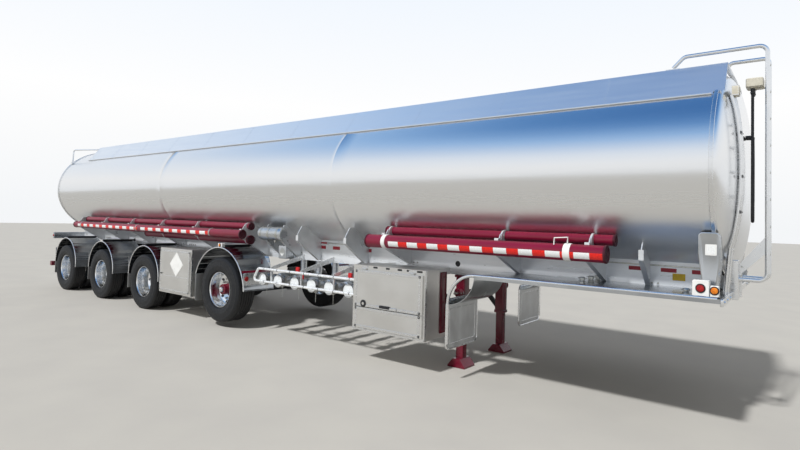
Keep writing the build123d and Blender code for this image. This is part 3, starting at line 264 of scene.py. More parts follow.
weld_shape = ((-0.012, 0.0), (-0.006, 0.0025), (0.0, 0.0035), (0.006, 0.0025), (0.012, 0.0))
bead_shape = ((0.0, 0.0), (0.0001, 0.009), (0.004, 0.012), (0.032, 0.012), (0.036, 0.009), (0.0361, 0.0))
along = [(x, 0.0) for x in np.linspace(tank_rear + 0.3, tank_front - 0.3, 44)
         if min(abs(x - middle) for middle in seam_places) > 0.05]
along += [(middle + offset, rise) for middle in seam_places for offset, rise in weld_shape]
along += [(tank_rear + offset, rise) for offset, rise in bead_shape]
along += [(tank_front - offset, rise) for offset, rise in bead_shape]
shell = tank_rows(*np.array(sorted(along)).T)
rows = np.concatenate([head_rows(tank_rear, -1)[::-1], shell, head_rows(tank_front, 1)])
piece("tank_skin", [grid(rows, False, True)], polish, replaces=["tank_shell"], angle=50)
# Extruded aluminium, buffed: bright, with a softer shine and slight waves.
bright, tree, shader = finish("bright_aluminium_extrusion", "#e3e4e5", metallic=1.0, roughness=0.24)
vary(tree, shader, pattern(tree, 0.2, 0.05, 0.05), Roughness=(0.18, 0.32))
vary(tree, shader, pattern(tree, 0.7, 0.3, 0.3, Detail=1.0), Normal=0.001)
ring_shape = [(0.0, 0.0105), (0.003, 0.0145), (0.008, 0.0155), (0.028, 0.0155), (0.033, 0.0145),
              (0.0365, 0.0105)]
offsets, rises = np.array(ring_shape).T
rings = [grid(tank_rows(x + sign * offsets, rises), True, True)
         for x, sign in ((tank_rear, 1), (tank_front, -1))]
piece("end_rings", rings, bright)


# Top coaming
# Two leaning plates of satin sheet that shield the manholes, joined by riveted
# straps every few feet, with a half-round strip along the foot.
def bar(start, run, across, thick):
    """A bar with softened edges from three edge vectors: start + a run + b across + c
    thick, each from 0 to 1."""
    start, run, across, thick = (np.asarray(v, float) for v in (start, run, across, thick))
    wide, deep = np.linalg.norm(across), np.linalg.norm(thick)
    soft = 0.25 * min(wide, deep)
    u, v = soft / wide, soft / deep
    section = [(u, 0), (1 - u, 0), (1, v), (1, 1 - v), (1 - u, 1), (u, 1), (0, 1 - v), (0, v)]
    around = np.array([b * across + c * thick for b, c in section])
    verts, faces = grid(np.stack([start + around, start + run + around]), False, True)
    return verts, faces + [list(range(8)), list(range(8, 16))]


def path_frames(points, up):
    """Directions across a path: with t the path's direction, side = t x up and rise = side x t."""
    points = np.asarray(points, float)
    t = np.gradient(points, axis=0)
    t /= np.linalg.norm(t, axis=1, keepdims=True)
    side = np.cross(t, up)
    side /= np.linalg.norm(side, axis=1, keepdims=True)
    return points, side, np.cross(side, t)


def swept(points, outline, up=(0, 0, 1), closed=False):
    """An outline of (sideways, upward) distances carried along a path: point + u * side +
    v * rise, ends closed."""
    points, side, rise = path_frames(points, up)
    outline = np.asarray(outline, float)
    rows = points[:, None] + outline[None, :, :1] * side[:, None] + outline[None, :, 1:] * rise[:, None]
    verts, faces = grid(rows, closed, True)
    if not closed:
        count = len(outline)
        faces += [list(range(count)), list(range(len(verts) - count, len(verts)))]
    return verts, faces


def circle(radius, count=14):
    """Points round a circle: (r cos t, r sin t)."""
    t = np.linspace(0, 2 * pi, count, endpoint=False)
    return np.stack([radius * np.cos(t), radius * np.sin(t)], -1)


def copies(shape, places):
    """One shape at many places: its corners plus each place."""
    verts, faces = shape
    places = np.asarray(places, float)
    count = len(verts)
    return ((places[:, None] + np.asarray(verts)[None]).reshape(-1, 3),
            [[corner + k * count for corner in face] for k in range(len(places)) for face in faces])


def mirrored(parts):
    """The parts and their mirror images across the trailer's middle."""
    return list(parts) + [(np.asarray(verts) * (1, -1, 1), faces) for verts, faces in parts]


# Brushed aluminium sheet, satin: it takes the sky as one pale sheen and mirrors
# nothing, with faint streaks along it.
coaming_sheet, tree, shader = finish("satin_coaming_sheet", "#eef0f2", metallic=0.9, roughness=0.4)
vary(tree, shader, pattern(tree, 0.9, 0.05, 0.05), Roughness=(0.34, 0.46))
vary(tree, shader, pattern(tree, 1.1, 0.4, 0.4, Detail=1.0), Normal=0.0006)
nodes["top_coaming"].data.materials.clear()
nodes["top_coaming"].data.materials.append(coaming_sheet)
foot, crown = np.array([0, -0.8785, 3.0605]), np.array([0, -0.6435, 3.390])
face = (crown - foot) / np.linalg.norm(crown - foot)
outward = np.array([0, -face[2], face[1]])
strap_places = np.linspace(-5.05, 5.95, 10)
strap_wide, strap_thick, strap_long, rivet_radius = 0.028, 0.0022, 0.385, 0.005
parts = [bar(foot + (x - strap_wide / 2, 0, 0) + face * 0.012, face * strap_long, (strap_wide, 0, 0),
             outward * strap_thick) for x in strap_places]
lengthways, upwards = np.array([1, 0, 0]), np.array([0, -outward[2], outward[1]])
foot_ring = [rivet_radius * (upwards * cos(a) + lengthways * sin(a))
             for a in np.linspace(0, 2 * pi, 6, endpoint=False)]
dome = (np.array(foot_ring + [outward * 0.003]),
        [[0, 1, 2, 3, 4, 5]] + [[i, (i + 1) % 6, 6] for i in range(6)])
parts.append(copies(dome, [foot + (x + dx, 0, 0) + face * (0.04 + 0.055 * k) + outward * strap_thick
                           for x in strap_places for dx in (-0.006, 0.006) for k in range(7)]))
strip = np.array([(x, -0.8885, 3.061) for x in np.linspace(-6.235, 6.93, 12)])
parts.append(swept(strip, circle(0.008, 10)))
piece("coaming_straps", mirrored(parts), coaming_sheet)


# Walkway
# Planks of chequer plate, raised diamonds up so that boots hold, on upright ribs
# welded to the shell.
def worn(name, code, other, metallic, low, high, size=(0.08, 0.08, 0.08), depth=0.0):
    """A material whose colour and roughness drift between two values with grains of a size in metres. Marks
    finer than a centimetre, such as blasting or mould grain, are drawn two or three wide
    so that they show."""
    made, tree, shader = finish(name, code, metallic)
    grain = pattern(tree, *size)
    vary(tree, shader, grain, Base_Color=(code, other), Roughness=(low, high))
    if depth:
        vary(tree, shader, grain, Normal=depth)
    return made


def dress(material, *names):
    """Give CAD pieces a material in place of their plain one."""
    for name in names:
        nodes[name].data.materials.clear()
        nodes[name].data.materials.append(material)


# Chequer plate: rolled aluminium whose 3 cm bars of raised diamonds catch the
# light one by one.
chequer, tree, shader = finish("chequer_plate_aluminium", "#c6c9cc", metallic=1.0, roughness=0.3)
vary(tree, shader, pattern(tree, 0.3, 0.3, 0.3), Roughness=(0.24, 0.42))
diamonds = pattern(tree, 0.03, 0.018, 0.03, kind="Voronoi", output="Distance")
raised = add(tree, "ShaderNodeValToRGB", stops=((0.18, "#ffffff"), (0.3, "#000000")),
             Fac=diamonds).outputs["Color"]
vary(tree, shader, raised, Normal=0.0015)
dress(chequer, "walkway")


# Manhole collars and lids
# Cast and turned alloy. Each lid carries a smaller fill cap with its clamp
# lever, two vents and a ring of clamping screws, and lifts with them.
def turned(profile, centre=(0, 0, 0), axis="Y", count=64):
    """A profile of (radius, distance along the axis) turned round an axis through a centre: a point goes to
    distance along the axis and radius * (cos t, sin t) across it. A profile that starts on
    the axis ends on it."""
    profile = np.asarray(profile, float)
    t = np.linspace(0, 2 * pi, count, endpoint=False)
    a, b, c = {"X": (0, 1, 2), "Y": (1, 2, 0), "Z": (2, 0, 1)}[axis]
    points = np.zeros((count, len(profile), 3))
    points[..., a] = profile[None, :, 1]
    points[..., b] = profile[None, :, 0] * np.cos(t)[:, None]
    points[..., c] = profile[None, :, 0] * np.sin(t)[:, None]
    return grid(points + np.asarray(centre, float), True, profile[0, 0] > 0)


def pin(radius, low, high):
    """The profile of a round bar between two places along its axis."""
    return [(0, low), (radius, low), (radius, high), (0, high)]


def sleeve(inner, outer, low, high):
    """The profile of a tube with two radii, between two places along its axis."""
    return [(inner, low), (outer, low), (outer, high), (inner, high)]


def around(radius, count, start=0.0):
    """Points (r cos a, r sin a) at even steps round a circle, from a start angle."""
    return [(radius * cos(a), radius * sin(a)) for a in start + np.arange(count) * 2 * pi / count]


def hexes(places, radius, high, axis="Z"):
    """Hexagon heads with a chamfered crown that stand on places along an axis; a height
    under 0 points back."""
    profile = [(0, 0), (radius, 0), (radius, 0.75 * high), (0.82 * radius, high), (0, high)]
    return copies(turned(profile, axis=axis, count=6), places)


# Mill-finish aluminium: dull silver, with faint streaks along the rolling.
satin = worn("mill_finish_aluminium", "#bcc0c4", "#cfd2d5", 1.0, 0.24, 0.42, (0.25, 0.04, 0.04))
# Cast alloy, shot-blasted: an even mid grey, dull, with a fine unevenness.
cast = worn("cast_alloy", "#9da1a5", "#b4b8bb", 1.0, 0.38, 0.58, (0.02, 0.02, 0.02), 0.0006)
# Zinc-plated steel: warm bright grey, mottled where the plating weathers.
zinc = worn("zinc_plated_steel", "#b5b6b2", "#c8c8c2", 1.0, 0.25, 0.42, (0.02, 0.02, 0.02))
lid_places, lid_top = (-5.2, -1.75, 1.75, 5.2), 3.478
cap_shape = [(0, 0), (0.128, 0), (0.128, 0.016), (0.118, 0.023), (0.05, 0.027), (0, 0.027)]
vent_shape = [(0, 0), (0.034, 0), (0.034, 0.02), (0.042, 0.022), (0.042, 0.03), (0.02, 0.037), (0, 0.037)]
dress(satin, "manhole_collars", "vapour_pipe")
for number, x in enumerate(lid_places, 1):
    dress(cast, f"manhole_lid_{number}")
    cap_x = x - 0.03
    parts = [turned(cap_shape, (cap_x, 0, lid_top), "Z"),
             bar((x - 0.165, -0.013, lid_top + 0.022), (0.27, 0, 0), (0, 0.026, 0), (0, 0, 0.013)),
             hexes([(cap_x, 0, lid_top + 0.033)], 0.017, 0.012)]
    parts += [turned(vent_shape, (x - 0.02, y, lid_top), "Z", 32) for y in (-0.175, 0.175)]
    parts.append(hexes([(x + dx, dy, lid_top + 0.001) for dx, dy in around(0.23, 12, pi / 12)], 0.011, 0.008))
    piece(f"lid_fittings_{number}", parts, zinc, f"manhole_lid_{number}")


# Vapour pipe
# A thin alloy pipe along the lids, joined by grooved couplings and held on its
# feet by band clamps with a screw each.
vapour_y, vapour_z = 0.4, 3.4059
coupling_shape = [(0.0375, -0.032), (0.048, -0.03), (0.048, -0.012), (0.043, -0.008), (0.043, 0.008),
                  (0.048, 0.012), (0.048, 0.03), (0.0375, 0.032)]
parts = []
for x in (-4.3, -2.65, -0.85, 0.85, 2.65, 4.3):
    parts.append(turned(coupling_shape, (x, vapour_y, vapour_z), "X", 36))
    parts.append(hexes([(x, vapour_y, vapour_z + 0.045)], 0.009, 0.01))
for x in lid_places:
    parts.append(turned(sleeve(0.0375, 0.0405, -0.014, 0.014), (x, vapour_y, vapour_z), "X", 36))
piece("pipe_couplings", parts, cast)


# Frame rails
# Pressed aluminium channels along the whole trailer, bolted at the hangers, with
# blank reflective patches, a cable ledge, a yellow label and a grommet.
flat_axes = {"X": (2, 0, 1), "Y": (0, 2, 1), "Z": (0, 1, 2)}


def lay(axis, height, flat):
    """Points at a height along an axis: flat pairs are (Y, Z) across X, (X, Z) across Y
    and (X, Y) across Z."""
    flat = np.asarray(flat, float)
    return np.concatenate([flat, np.full(flat.shape[:-1] + (1,), height)], -1)[..., flat_axes[axis]]


def inset(outline, by):
    """An outline moved inwards: each corner goes by / cos(half its turn) along the mean of
    its two edge normals."""
    outline = np.asarray(outline, float)
    edge = np.roll(outline, -1, 0) - outline
    edge /= np.linalg.norm(edge, axis=1, keepdims=True)
    turn = outline[:, 0] * np.roll(outline[:, 1], -1) - outline[:, 1] * np.roll(outline[:, 0], -1)
    normal = np.stack([-edge[:, 1], edge[:, 0]], -1) * np.sign(turn.sum())
    both = normal + np.roll(normal, 1, 0)
    return outline + by * 2 * both / (both ** 2).sum(1, keepdims=True)


def slab(outline, low, high, axis="Y", soft=0.002):
    """A plate with an outline across an axis, between two heights, its edges broken by a small chamfer."""
    outer, inner = np.asarray(outline, float), inset(outline, soft)
    rows = [lay(axis, low, inner), lay(axis, low + soft, outer), lay(axis, high - soft, outer),
            lay(axis, high, inner)]
    verts, faces = grid(np.stack(rows), False, True)
    count = len(outer)
    return verts, faces + [list(range(count)), list(range(3 * count, 4 * count))]


def rectangle(left, right, low, high, radius=0.004, steps=3):
    """The outline of a rectangle with rounded corners."""
    points = []
    for x, z, start in ((right, high, 0), (left, high, 1), (left, low, 2), (right, low, 3)):
        middle = (x - radius * (1 if x == right else -1), z - radius * (1 if z == high else -1))
        for a in np.linspace(start * pi / 2, (start + 1) * pi / 2, steps + 1):
            points.append((middle[0] + radius * cos(a), middle[1] + radius * sin(a)))
    return points


def block(low, high, axis="Y", radius=0.004, soft=0.002, steps=2):
    """A body between two corners with rounded edges along an axis and chamfered ends."""
    a = "XYZ".index(axis)
    b, c = [k for k in range(3) if k != a]
    return slab(rectangle(low[b], high[b], low[c], high[c], radius, steps), low[a], high[a], axis, soft)


def tape(name, code, light, dark):
    """A reflective tape. Its prism cells, about 3 mm wide, are drawn 6 mm wide so that they show."""
    made, tree, shader = finish(name, code, roughness=0.35)
    cells = pattern(tree, 0.006, 0.006, 0.006, kind="Voronoi", output="Distance")
    vary(tree, shader, cells, Base_Color=(light, dark), Normal=0.0002)
    return made


# Retroreflective tape: cells under a clear film that sparkle softly, in white
# and in dark red.
tape_white = tape("white_retroreflective_tape", "#eceeee", "#f3f4f3", "#dfe3e4")
tape_red = tape("red_retroreflective_tape", "#a3122c", "#b8152f", "#970f28")
# Yellow vinyl label: a flat, even yellow with a slight gloss.
label_yellow = worn("yellow_vinyl_label", "#e9c62e", "#dcb526", 0.0, 0.3, 0.5, (0.03, 0.03, 0.03))
# Sprayed chassis paint: a soft black that road dust makes uneven.
black = worn("black_chassis_paint", "#141416", "#25262a", 0.0, 0.38, 0.68, (0.09, 0.09, 0.09), 0.0004)
# Rail web: near white and half diffuse, a painted reflection of the sky that keeps it bright in the tank's shade.
rail_sheet = worn("rail_web_painted_sky_reflection", "#e9edf1", "#f4f7fa", 0.35, 0.26, 0.4, (0.5, 0.06, 0.06))
web = -0.5803
axles = (-6.235, -4.405, -2.575)
dress(rail_sheet, "frame_rails")
patch_thick, patch_soft = 0.0012, 0.0004
patch_rows = ((1.347, 1.397, 0.0,
               ((0.378, 0.533), (1.209, 1.378), (1.516, 1.667), (1.821, 1.971), (2.228, 2.374),
                                   (2.515, 2.606))),
              (1.376, 1.416, 0.0, ((6.146, 6.29), (6.454, 6.599), (6.734, 6.877))),
              (1.427, 1.451, 0.01, ((1.245, 1.401), (1.551, 1.7))))
parts = [slab(rectangle(start, end, low, high), web - out - patch_thick, web - out, "Y", patch_soft)
         for low, high, out, spans in patch_rows for start, end in spans]
piece("rail_patches", parts, tape_red)
parts = [bar((-6.95, web - 0.01, 1.432), (13.8, 0, 0), (0, 0.01, 0), (0, 0, 0.014))]
for x in (-6.9, -5.32, -3.49, -1.25, 1.1, 3.4, 4.9, 6.4):
    parts.append(hexes([(x + dx, web, 1.19 + dz) for dx in (-0.03, 0.03) for dz in (0, 0.07)], 0.011,
                       -0.009, "Y"))
for x in axles:
    parts.append(hexes([(x + dx, web, z) for dx in (0.42, 0.485, 0.555, 0.62) for z in (1.172, 1.232)],
                       0.014, -0.012, "Y"))
piece("rail_ledge_and_bolts", mirrored(parts), zinc)
label = slab(rectangle(6.562, 6.677, 1.301, 1.369), web - 0.0016, web, "Y", 0.0005)
piece("rail_label", [label], label_yellow)
grommet_shape = [(0, -0.001), (0.022, -0.001), (0.026, -0.007), (0.033, -0.006), (0.036, 0), (0, 0)]
piece("rail_grommet", [turned(grommet_shape, (4.066, web, 1.288), "Y", 32)], black)


# Coupler plate and kingpin
# A thick steel plate that rests on the tractor's fifth wheel, greased and worn
# round the pin, bolted through to the rails.

# Rolled steel under grease: near black, with wide brown smears.
coupler = worn("greased_steel_plate", "#1b1a1a", "#38322c", 0.6, 0.25, 0.6, (0.25, 0.25, 0.25), 0.0006)
# Turned and milled steel: an even mid grey with a sharp shine.
steel = worn("machined_steel", "#8f8f8e", "#a9a9a8", 1.0, 0.2, 0.36, (0.02, 0.02, 0.02))
dress(coupler, "coupler_plate")
dress(steel, "kingpin")
parts = [hexes([(x, y, 1.1378) for x in np.arange(5.25, 6.95, 0.2)], 0.015, -0.012) for y in (-0.56, 0.56)]
piece("coupler_bolts", parts, zinc)


# Front decks
# Bright decks over the tractor's frame, curled down behind into an apron, with
# a tube bead along the outer edge and white lamp boxes at the corners.

# Polished sheet with wide soft waves, a little darker than the shell.
deck_metal = worn("polished_deck_sheet", "#aeb2b6", "#c6c9cc", 1.0, 0.14, 0.3, (0.5, 0.3, 0.3))
# Baked white enamel: clean, even and glossy.
white = worn("white_enamel", "#e4e5e3", "#f0f1ef", 0.0, 0.22, 0.4, (0.12, 0.12, 0.12), 0.0003)
# Moulded rubber: matt black with a fine grain, drawn 2 cm wide to show.
rubber = worn("moulded_black_rubber", "#17181a", "#26272a", 0.0, 0.6, 0.85, (0.02, 0.02, 0.02), 0.0003)
# Moulded polyethylene: deep black with a waxy shine.
plastic = worn("black_polyethylene", "#101112", "#1c1d1f", 0.0, 0.32, 0.55, (0.05, 0.05, 0.05), 0.0003)
dress(deck_metal, "front_decks")
bead_y, deck_top = -1.277, 1.2365
edge = [(4.372, bead_y, z) for z in (0.44, 0.5, 0.6, 0.7, 0.8, 0.87)]
edge += [(4.72 - 0.346 * sin(a), bead_y, 0.89 + 0.346 * cos(a)) for a in np.linspace(pi / 2, 0, 20)]
edge += [(x, bead_y, deck_top) for x in np.linspace(4.9, 7.035, 12)]
piece("deck_beads", mirrored([swept(edge, circle(0.0184, 20), (0, 1, 0))]), bright)
tip_shape = [(0, 0), (0.0178, 0), (0.0178, 0.014), (0.014, 0.019), (0, 0.019)]
piece("deck_bead_tips", mirrored([turned(tip_shape, (7.034, bead_y, deck_top), "X", 24)]), rubber)
parts = [block((6.842, -1.2728, 1.2405), (6.974, -1.201, 1.3832), "Y", 0.012, 0.004, 4),
         block((6.978, -1.2728, 1.2405), (7.0455, -1.2212, 1.3432), "Y", 0.01, 0.004, 4)]
piece("lamp_housings", mirrored(parts), white)
parts, seat = [], 1.2395
for x, y, tall in ((5.805, -0.993, 0.05), (5.845, -0.847, 0.055), (5.863, -0.69, 0.05), (6.78, -1.15, 0.045)):
    profile = [(0, 0.016), (0.02, 0.016), (0.022, 0.03), (0.03, 0.034), (0.03, tall), (0.022, tall + 0.01),
               (0, tall + 0.012)]
    parts.append(hexes([(x, y, seat)], 0.032, 0.018))
    parts.append(turned(profile, (x, y, seat), "Z", 28))
    parts.append(bar((x - 0.045, y - 0.006, seat + tall - 0.006), (0.09, 0, 0), (0, 0.012, 0), (0, 0, 0.008)))
piece("deck_couplings", parts, zinc)


# Front bumper, ladder posts and corner brackets
# A bright folded bar across the deck's end, bright posts that carry the ladder,
# and pressed polished brackets from the deck's corners up to the shell.
parts = [block((7.0553, -1.295, 1.176), (7.0793, 1.295, 1.24), "X", 0.01, 0.004, 4)]
parts.append(hexes([(7.0793, y, 1.208) for y in (-1.2, -1.0, -0.8, 0.8, 1.0, 1.2)], 0.012, 0.009, "X"))
piece("bumper_bar", parts, bright, replaces=["front_bumper"])
parts = [block((7.0553, -0.684, 1.176), (7.13, -0.588, 1.54), "Z", 0.012, 0.005, 4),
         block((7.0553, -0.385, 1.176), (7.13, -0.335, 1.44), "Z", 0.01, 0.005, 4)]
piece("ladder_posts", parts, bright, replaces=["front_bumper"])


def arc(x, z, radius, start, end):
    """Seven points of an arc between two angles in degrees: (x + r cos t, z + r sin t)."""
    return [(x + radius * cos(t), z + radius * sin(t)) for t in np.linspace(radians(start), radians(end), 7)]


def at(flat, y):
    """Points of an outline in X and Z at distances along Y."""
    return np.stack([flat[:, 0], np.broadcast_to(y, len(flat)), flat[:, 1]], -1)


panel = np.array(arc(6.992, 1.754, 0.038, 0, 90) + arc(6.9, 1.754, 0.038, 90, 180)
                 + [(6.862, 1.6), (6.908, 1.2403), (6.996, 1.2403), (7.03, 1.52)])
level = (panel[:, 1] - tank_middle) / (tank_half_high + 0.013)
shell_out = tank_half_wide * np.sqrt(np.maximum(0, 1 - level ** 2)) + 0.014
depth_in = -np.maximum(0.86, shell_out)
steps = [(0.008, -1.1), (0.008, depth_in), (0, depth_in), (0, -1.1), (0.003, -1.1095), (0.01, -1.112),
         (0.016, -1.1095), (0.022, -1.107)]
verts, faces = grid(np.stack([at(inset(panel, by) if by else panel, y) for by, y in steps]), False, True)
count = len(panel)
shape = (verts, faces + [list(range(count)), list(range(7 * count, 8 * count))])
piece("corner_brackets", mirrored([shape]), deck_metal, replaces=["front_bumper"])
plate = slab(rectangle(6.918, 7.008, 1.59, 1.686, 0.008), -1.1105, -1.106, "Y", 0.001)
field = slab(rectangle(6.93, 6.996, 1.602, 1.674, 0.004), -1.1116, -1.1095, "Y", 0.0006)
piece("bracket_plate", mirrored([plate]), white)
piece("bracket_plate_field", mirrored([field]), tape_white)


# Marker lamps
# Round lenses of moulded acrylic with ribbed domes in rubber rings: red at the
# front corners, amber beside them and over the steered wheels.
def acrylic(name, code, light, dark):
    """A moulded lens material: its colour drifts over 12 mm, and 6 mm cells stand for the prisms inside."""
    made, tree, shader = finish(name, code, roughness=0.12)
    vary(tree, shader, pattern(tree, 0.012, 0.012, 0.012), Base_Color=(light, dark))
    vary(tree, shader, pattern(tree, 0.006, 0.006, 0.006, kind="Voronoi", output="Distance"), Normal=0.0008)
    return made


# Acrylic moulded in its colour: a wet shine over a deep red or an amber.
red_lens = acrylic("red_acrylic_lens", "#a10d12", "#b30f14", "#7c080d")
amber_lens = acrylic("amber_acrylic_lens", "#e07a12", "#f0901c", "#c9620c")
steer_x, steer_y, steer_z = -0.095, 1.095, 0.605


def lens(radius, deep):
    """Profile of a domed lens standing on its seat: a short wall, a stepped shoulder and a shallow crown."""
    return [(0, 0), (radius, 0), (radius, 0.45 * deep), (0.93 * radius, 0.5 * deep),
            (0.9 * radius, 0.78 * deep), (0.7 * radius, 0.92 * deep), (0.4 * radius, 0.98 * deep), (0, deep)]


def lamp(x, y, z, radius, deep):
    """A lens on the kerb side that points outwards along -Y."""
    return turned([(r, -d) for r, d in lens(radius, deep)], (x, y, z), "Y", 36)


def bezel(x, y, z, radius, deep):
    """A round rubber ring about a lens."""
    profile = [(radius - 0.001, 0), (radius + 0.008, 0), (radius + 0.008, -deep * 0.6),
               (radius + 0.004, -deep), (radius - 0.001, -deep)]
    return turned(profile, (x, y, z), "Y", 36)


red_lamp = lamp(6.908, -1.2728, 1.316, 0.031, 0.0172)
piece("red_marker_lamps", mirrored([red_lamp]), red_lens, replaces=["marker_lamps"])
ambers = [lamp(7.012, -1.2728, 1.304, 0.028, 0.0165), lamp(steer_x, -1.2708, 1.334, 0.022, 0.0165)]
piece("amber_marker_lamps", mirrored(ambers), amber_lens, replaces=["marker_lamps"])
rings = [bezel(6.908, -1.2726, 1.316, 0.031, 0.009), bezel(7.012, -1.2726, 1.304, 0.028, 0.008),
         bezel(steer_x, -1.2706, 1.334, 0.022, 0.008)]
piece("lamp_rings", mirrored(rings), rubber)


# Landing legs
# Welded maroon box legs: an outer tube with the gearbox, an inner tube that
# slides in it, a tapered foot, and the crank and cross shaft.

# Sprayed enamel: glossy maroon with a slight orange peel, painted darker than its own colour as shade under the
# tank.
maroon = worn("maroon_gloss_enamel", "#5c0a20", "#6c0f28", 0.0, 0.14, 0.3, (0.4, 0.3, 0.3), 0.0004)
leg_x, leg_y, shaft_z, rail_foot = 4.115, 0.53, 0.93, 1.1497
leg_boxes = ((0.065, 0.56, rail_foot, 0.016, 0.004), (0.052, 0.02, 0.57, 0.012, 0.003),
             (0.073, 0.545, 0.585, 0.016, 0.004), (0.079, 1.12, rail_foot, 0.012, 0.004))
foot_shape = [(3.99, 0), (4.24, 0), (4.24, 0.02), (4.167, 0.11), (4.063, 0.11), (3.99, 0.02)]
boss_shape = [(0, 0), (0.062, 0), (0.066, 0.006), (0.066, 0.03), (0.05, 0.04), (0, 0.04)]
brace_shape = [(4.054, 0.59), (4.054, 0.68), (3.615, rail_foot), (3.525, rail_foot)]
parts, braces = [], []
for side in (-1, 1):
    y = side * leg_y
    for half, low, high, radius, soft in leg_boxes:
        parts.append(block((leg_x - half, y - half, low), (leg_x + half, y + half, high), "Z",
                           radius, soft, 4))
    parts.append(slab(foot_shape, y - 0.125, y + 0.125, "Y", 0.004))
    parts.append(turned([(r, side * d) for r, d in boss_shape], (leg_x, side * 0.595, shaft_z), "Y", 36))
    braces.append(slab(brace_shape, y - 0.02, y + 0.02, "Y", 0.004))
parts.append(turned(pin(0.022, -0.475, 0.475), (leg_x, 0, shaft_z), "Y", 28))
piece("maroon_legs", parts, maroon, replaces=["landing_legs"])
stub_shape = [(0, -0.634), (0.016, -0.634), (0.016, -0.722), (0.012, -0.73), (0, -0.73)]
screws = [(leg_x + dx, y, shaft_z + dz) for y in (-0.636, 0.636)
          for dx, dz in ((-0.045, 0), (0.045, 0), (0, 0.045), (0, -0.045))]
parts = [turned(stub_shape, (leg_x, 0, shaft_z), "Y", 24), hexes(screws, 0.008, 0.004, "Y")]
piece("leg_shaft_and_screws", parts, zinc, replaces=["landing_legs"])
piece("leg_braces", braces, black, replaces=["landing_legs"])


# Cabinets
# Folded aluminium lockers: the big one with a rising and a falling door, the
# small one with a door hung at its front edge and a blank white diamond on it.

# Brushed sheet, clear-coated: a warm pale grey, satin and nearly even.
locker = worn("brushed_locker_sheet", "#d0cfcc", "#dad9d6", 0.85, 0.3, 0.42, (0.5, 0.3, 0.3))
dress(locker, "cabinet_body", "cabinet_door_upper", "cabinet_door_lower", "small_cabinet",
      "small_cabinet_door")
door_face, door_left, door_right = -1.2803, 2.953, 3.997


def door_trim(left, right, low, high, y, wide=0.03):
    """A raised rim round a door: four flat strips along its edges, each with its width turned inwards."""
    corners = [(left, low), (right, low), (right, high), (left, high)]
    inwards = [(0, wide), (-wide, 0), (0, -wide), (wide, 0)]
    return [bar((x0, y, z0), (x1 - x0, 0, z1 - z0), (dx, 0, dz), (0, -0.004, 0))
            for (x0, z0), (x1, z1), (dx, dz) in zip(corners, corners[1:] + corners[:1], inwards)]


def rivets(places):
    """Low domed rivet heads that point outwards on the kerb side."""
    return copies(turned([(0, 0), (0.006, 0), (0.005, -0.002), (0.002, -0.0034), (0, -0.0036)],
                         count=10), places)


for label, low, high in (("upper", 0.712, 1.176), ("lower", 0.44, 0.704)):
    parts = door_trim(door_left + 0.004, door_right - 0.004, low + 0.004, high - 0.004, door_face + 0.001)
    parts.append(rivets([(x, door_face - 0.003, z)
                         for x in np.linspace(door_left + 0.02, door_right - 0.02, 12)
                         for z in (low + 0.019, high - 0.019)]))
    if label == "upper":
        parts.append(bar((3.32, -1.288, 0.716), (0.32, 0, 0), (0, 0, 0.03), (0, -0.004, 0)))
    piece(f"door_trim_{label}", parts, bright, f"cabinet_door_{label}")
lock_shape = [(0, 0), (0.046, 0), (0.046, -0.006), (0.036, -0.011), (0.02, -0.011), (0.014, -0.006),
              (0, -0.006)]
parts = [turned(lock_shape, (3.1, door_face, 0.752), "Y", 36),
         block((3.37, -1.2925, 0.722), (3.54, -1.2805, 0.758), "Y", 0.008, 0.003, 3)]
piece("door_lock", parts, black, "cabinet_door_upper")
# Black plates along the locker's top edge stand for its slots: their black is painted shade for the dark openings.
slots = [(3.093, 3.152), (3.234, 3.305), (3.44, 3.502), (3.625, 3.695), (3.766, 3.83), (3.92, 4.002)]
parts = [slab(rectangle(a, b, 1.205, 1.228, 0.008, 4), -1.2588, -1.2575, "Y", 0.0004) for a, b in slots]
piece("cabinet_slots_painted_shade", parts, black)
parts = [bar((2.906, -1.2578, 0.406), (1.138, 0, 0), (0, 0, 0.022), (0, -0.003, 0))]
parts += [bar((x, -1.258, 0.406), (0, 0, 0.829), (0, 0.03, 0), (0.004, 0, 0)) for x in (2.901, 4.045)]
for x in (3.095, 3.855):
    for low, high in ((1.183, 1.226), (0.41, 0.434)):
        parts.append(slab(rectangle(x - 0.055, x + 0.055, low, high, 0.005), -1.2615, -1.2575, "Y", 0.001))
        parts.append(rivets([(x + dx, -1.2612, (low + high) / 2) for dx in (-0.042, 0.042)]))
piece("cabinet_edges", parts, bright)
parts = [block((4.0455, -0.945, 0.46), (4.0575, -0.812, 1.2), "Z", 0.004, 0.002, 2),
         hexes([(4.0575, -0.878, z) for z in (0.52, 0.83, 1.14)], 0.01, 0.008, "X")]
piece("cabinet_end_post", parts, maroon)
box_left, box_right, box_low, box_high, box_face = -1.954, -0.969, 0.435, 1.165, -1.2783
left, right, low, high = box_left + 0.017, box_right - 0.017, box_low + 0.017, box_high - 0.017
parts = door_trim(box_left + 0.004, box_right - 0.004, box_low + 0.004, box_high - 0.004,
                  box_face + 0.001, 0.026)
parts.append(rivets([(x, box_face - 0.003, z) for x in np.linspace(left, right, 10) for z in (low, high)]))
parts.append(rivets([(x, box_face - 0.003, z) for x in (left, right)
                     for z in np.linspace(box_low + 0.09, box_high - 0.09, 7)]))
piece("small_door_trim", parts, bright, "small_cabinet_door")
diamond = slab([(-1.3895, 0.7085), (-1.1715, 0.9265), (-1.3895, 1.1445), (-1.6075, 0.9265)],
               box_face - 0.004, box_face, "Y", 0.001)
piece("diamond_plate", [diamond], white, "small_cabinet_door")
seam = block((-1.93, -1.2806, 0.698), (-0.975, -1.2785, 0.708), "X", 0.001, 0.0005, 2)
piece("small_door_seam", [seam], bright, "small_cabinet_door")
latch = block((-1.914, -1.2905, 0.725), (-1.854, -1.2785, 0.755), "Y", 0.008, 0.003, 3)
piece("small_door_latch", [latch], black, "small_cabinet_door")
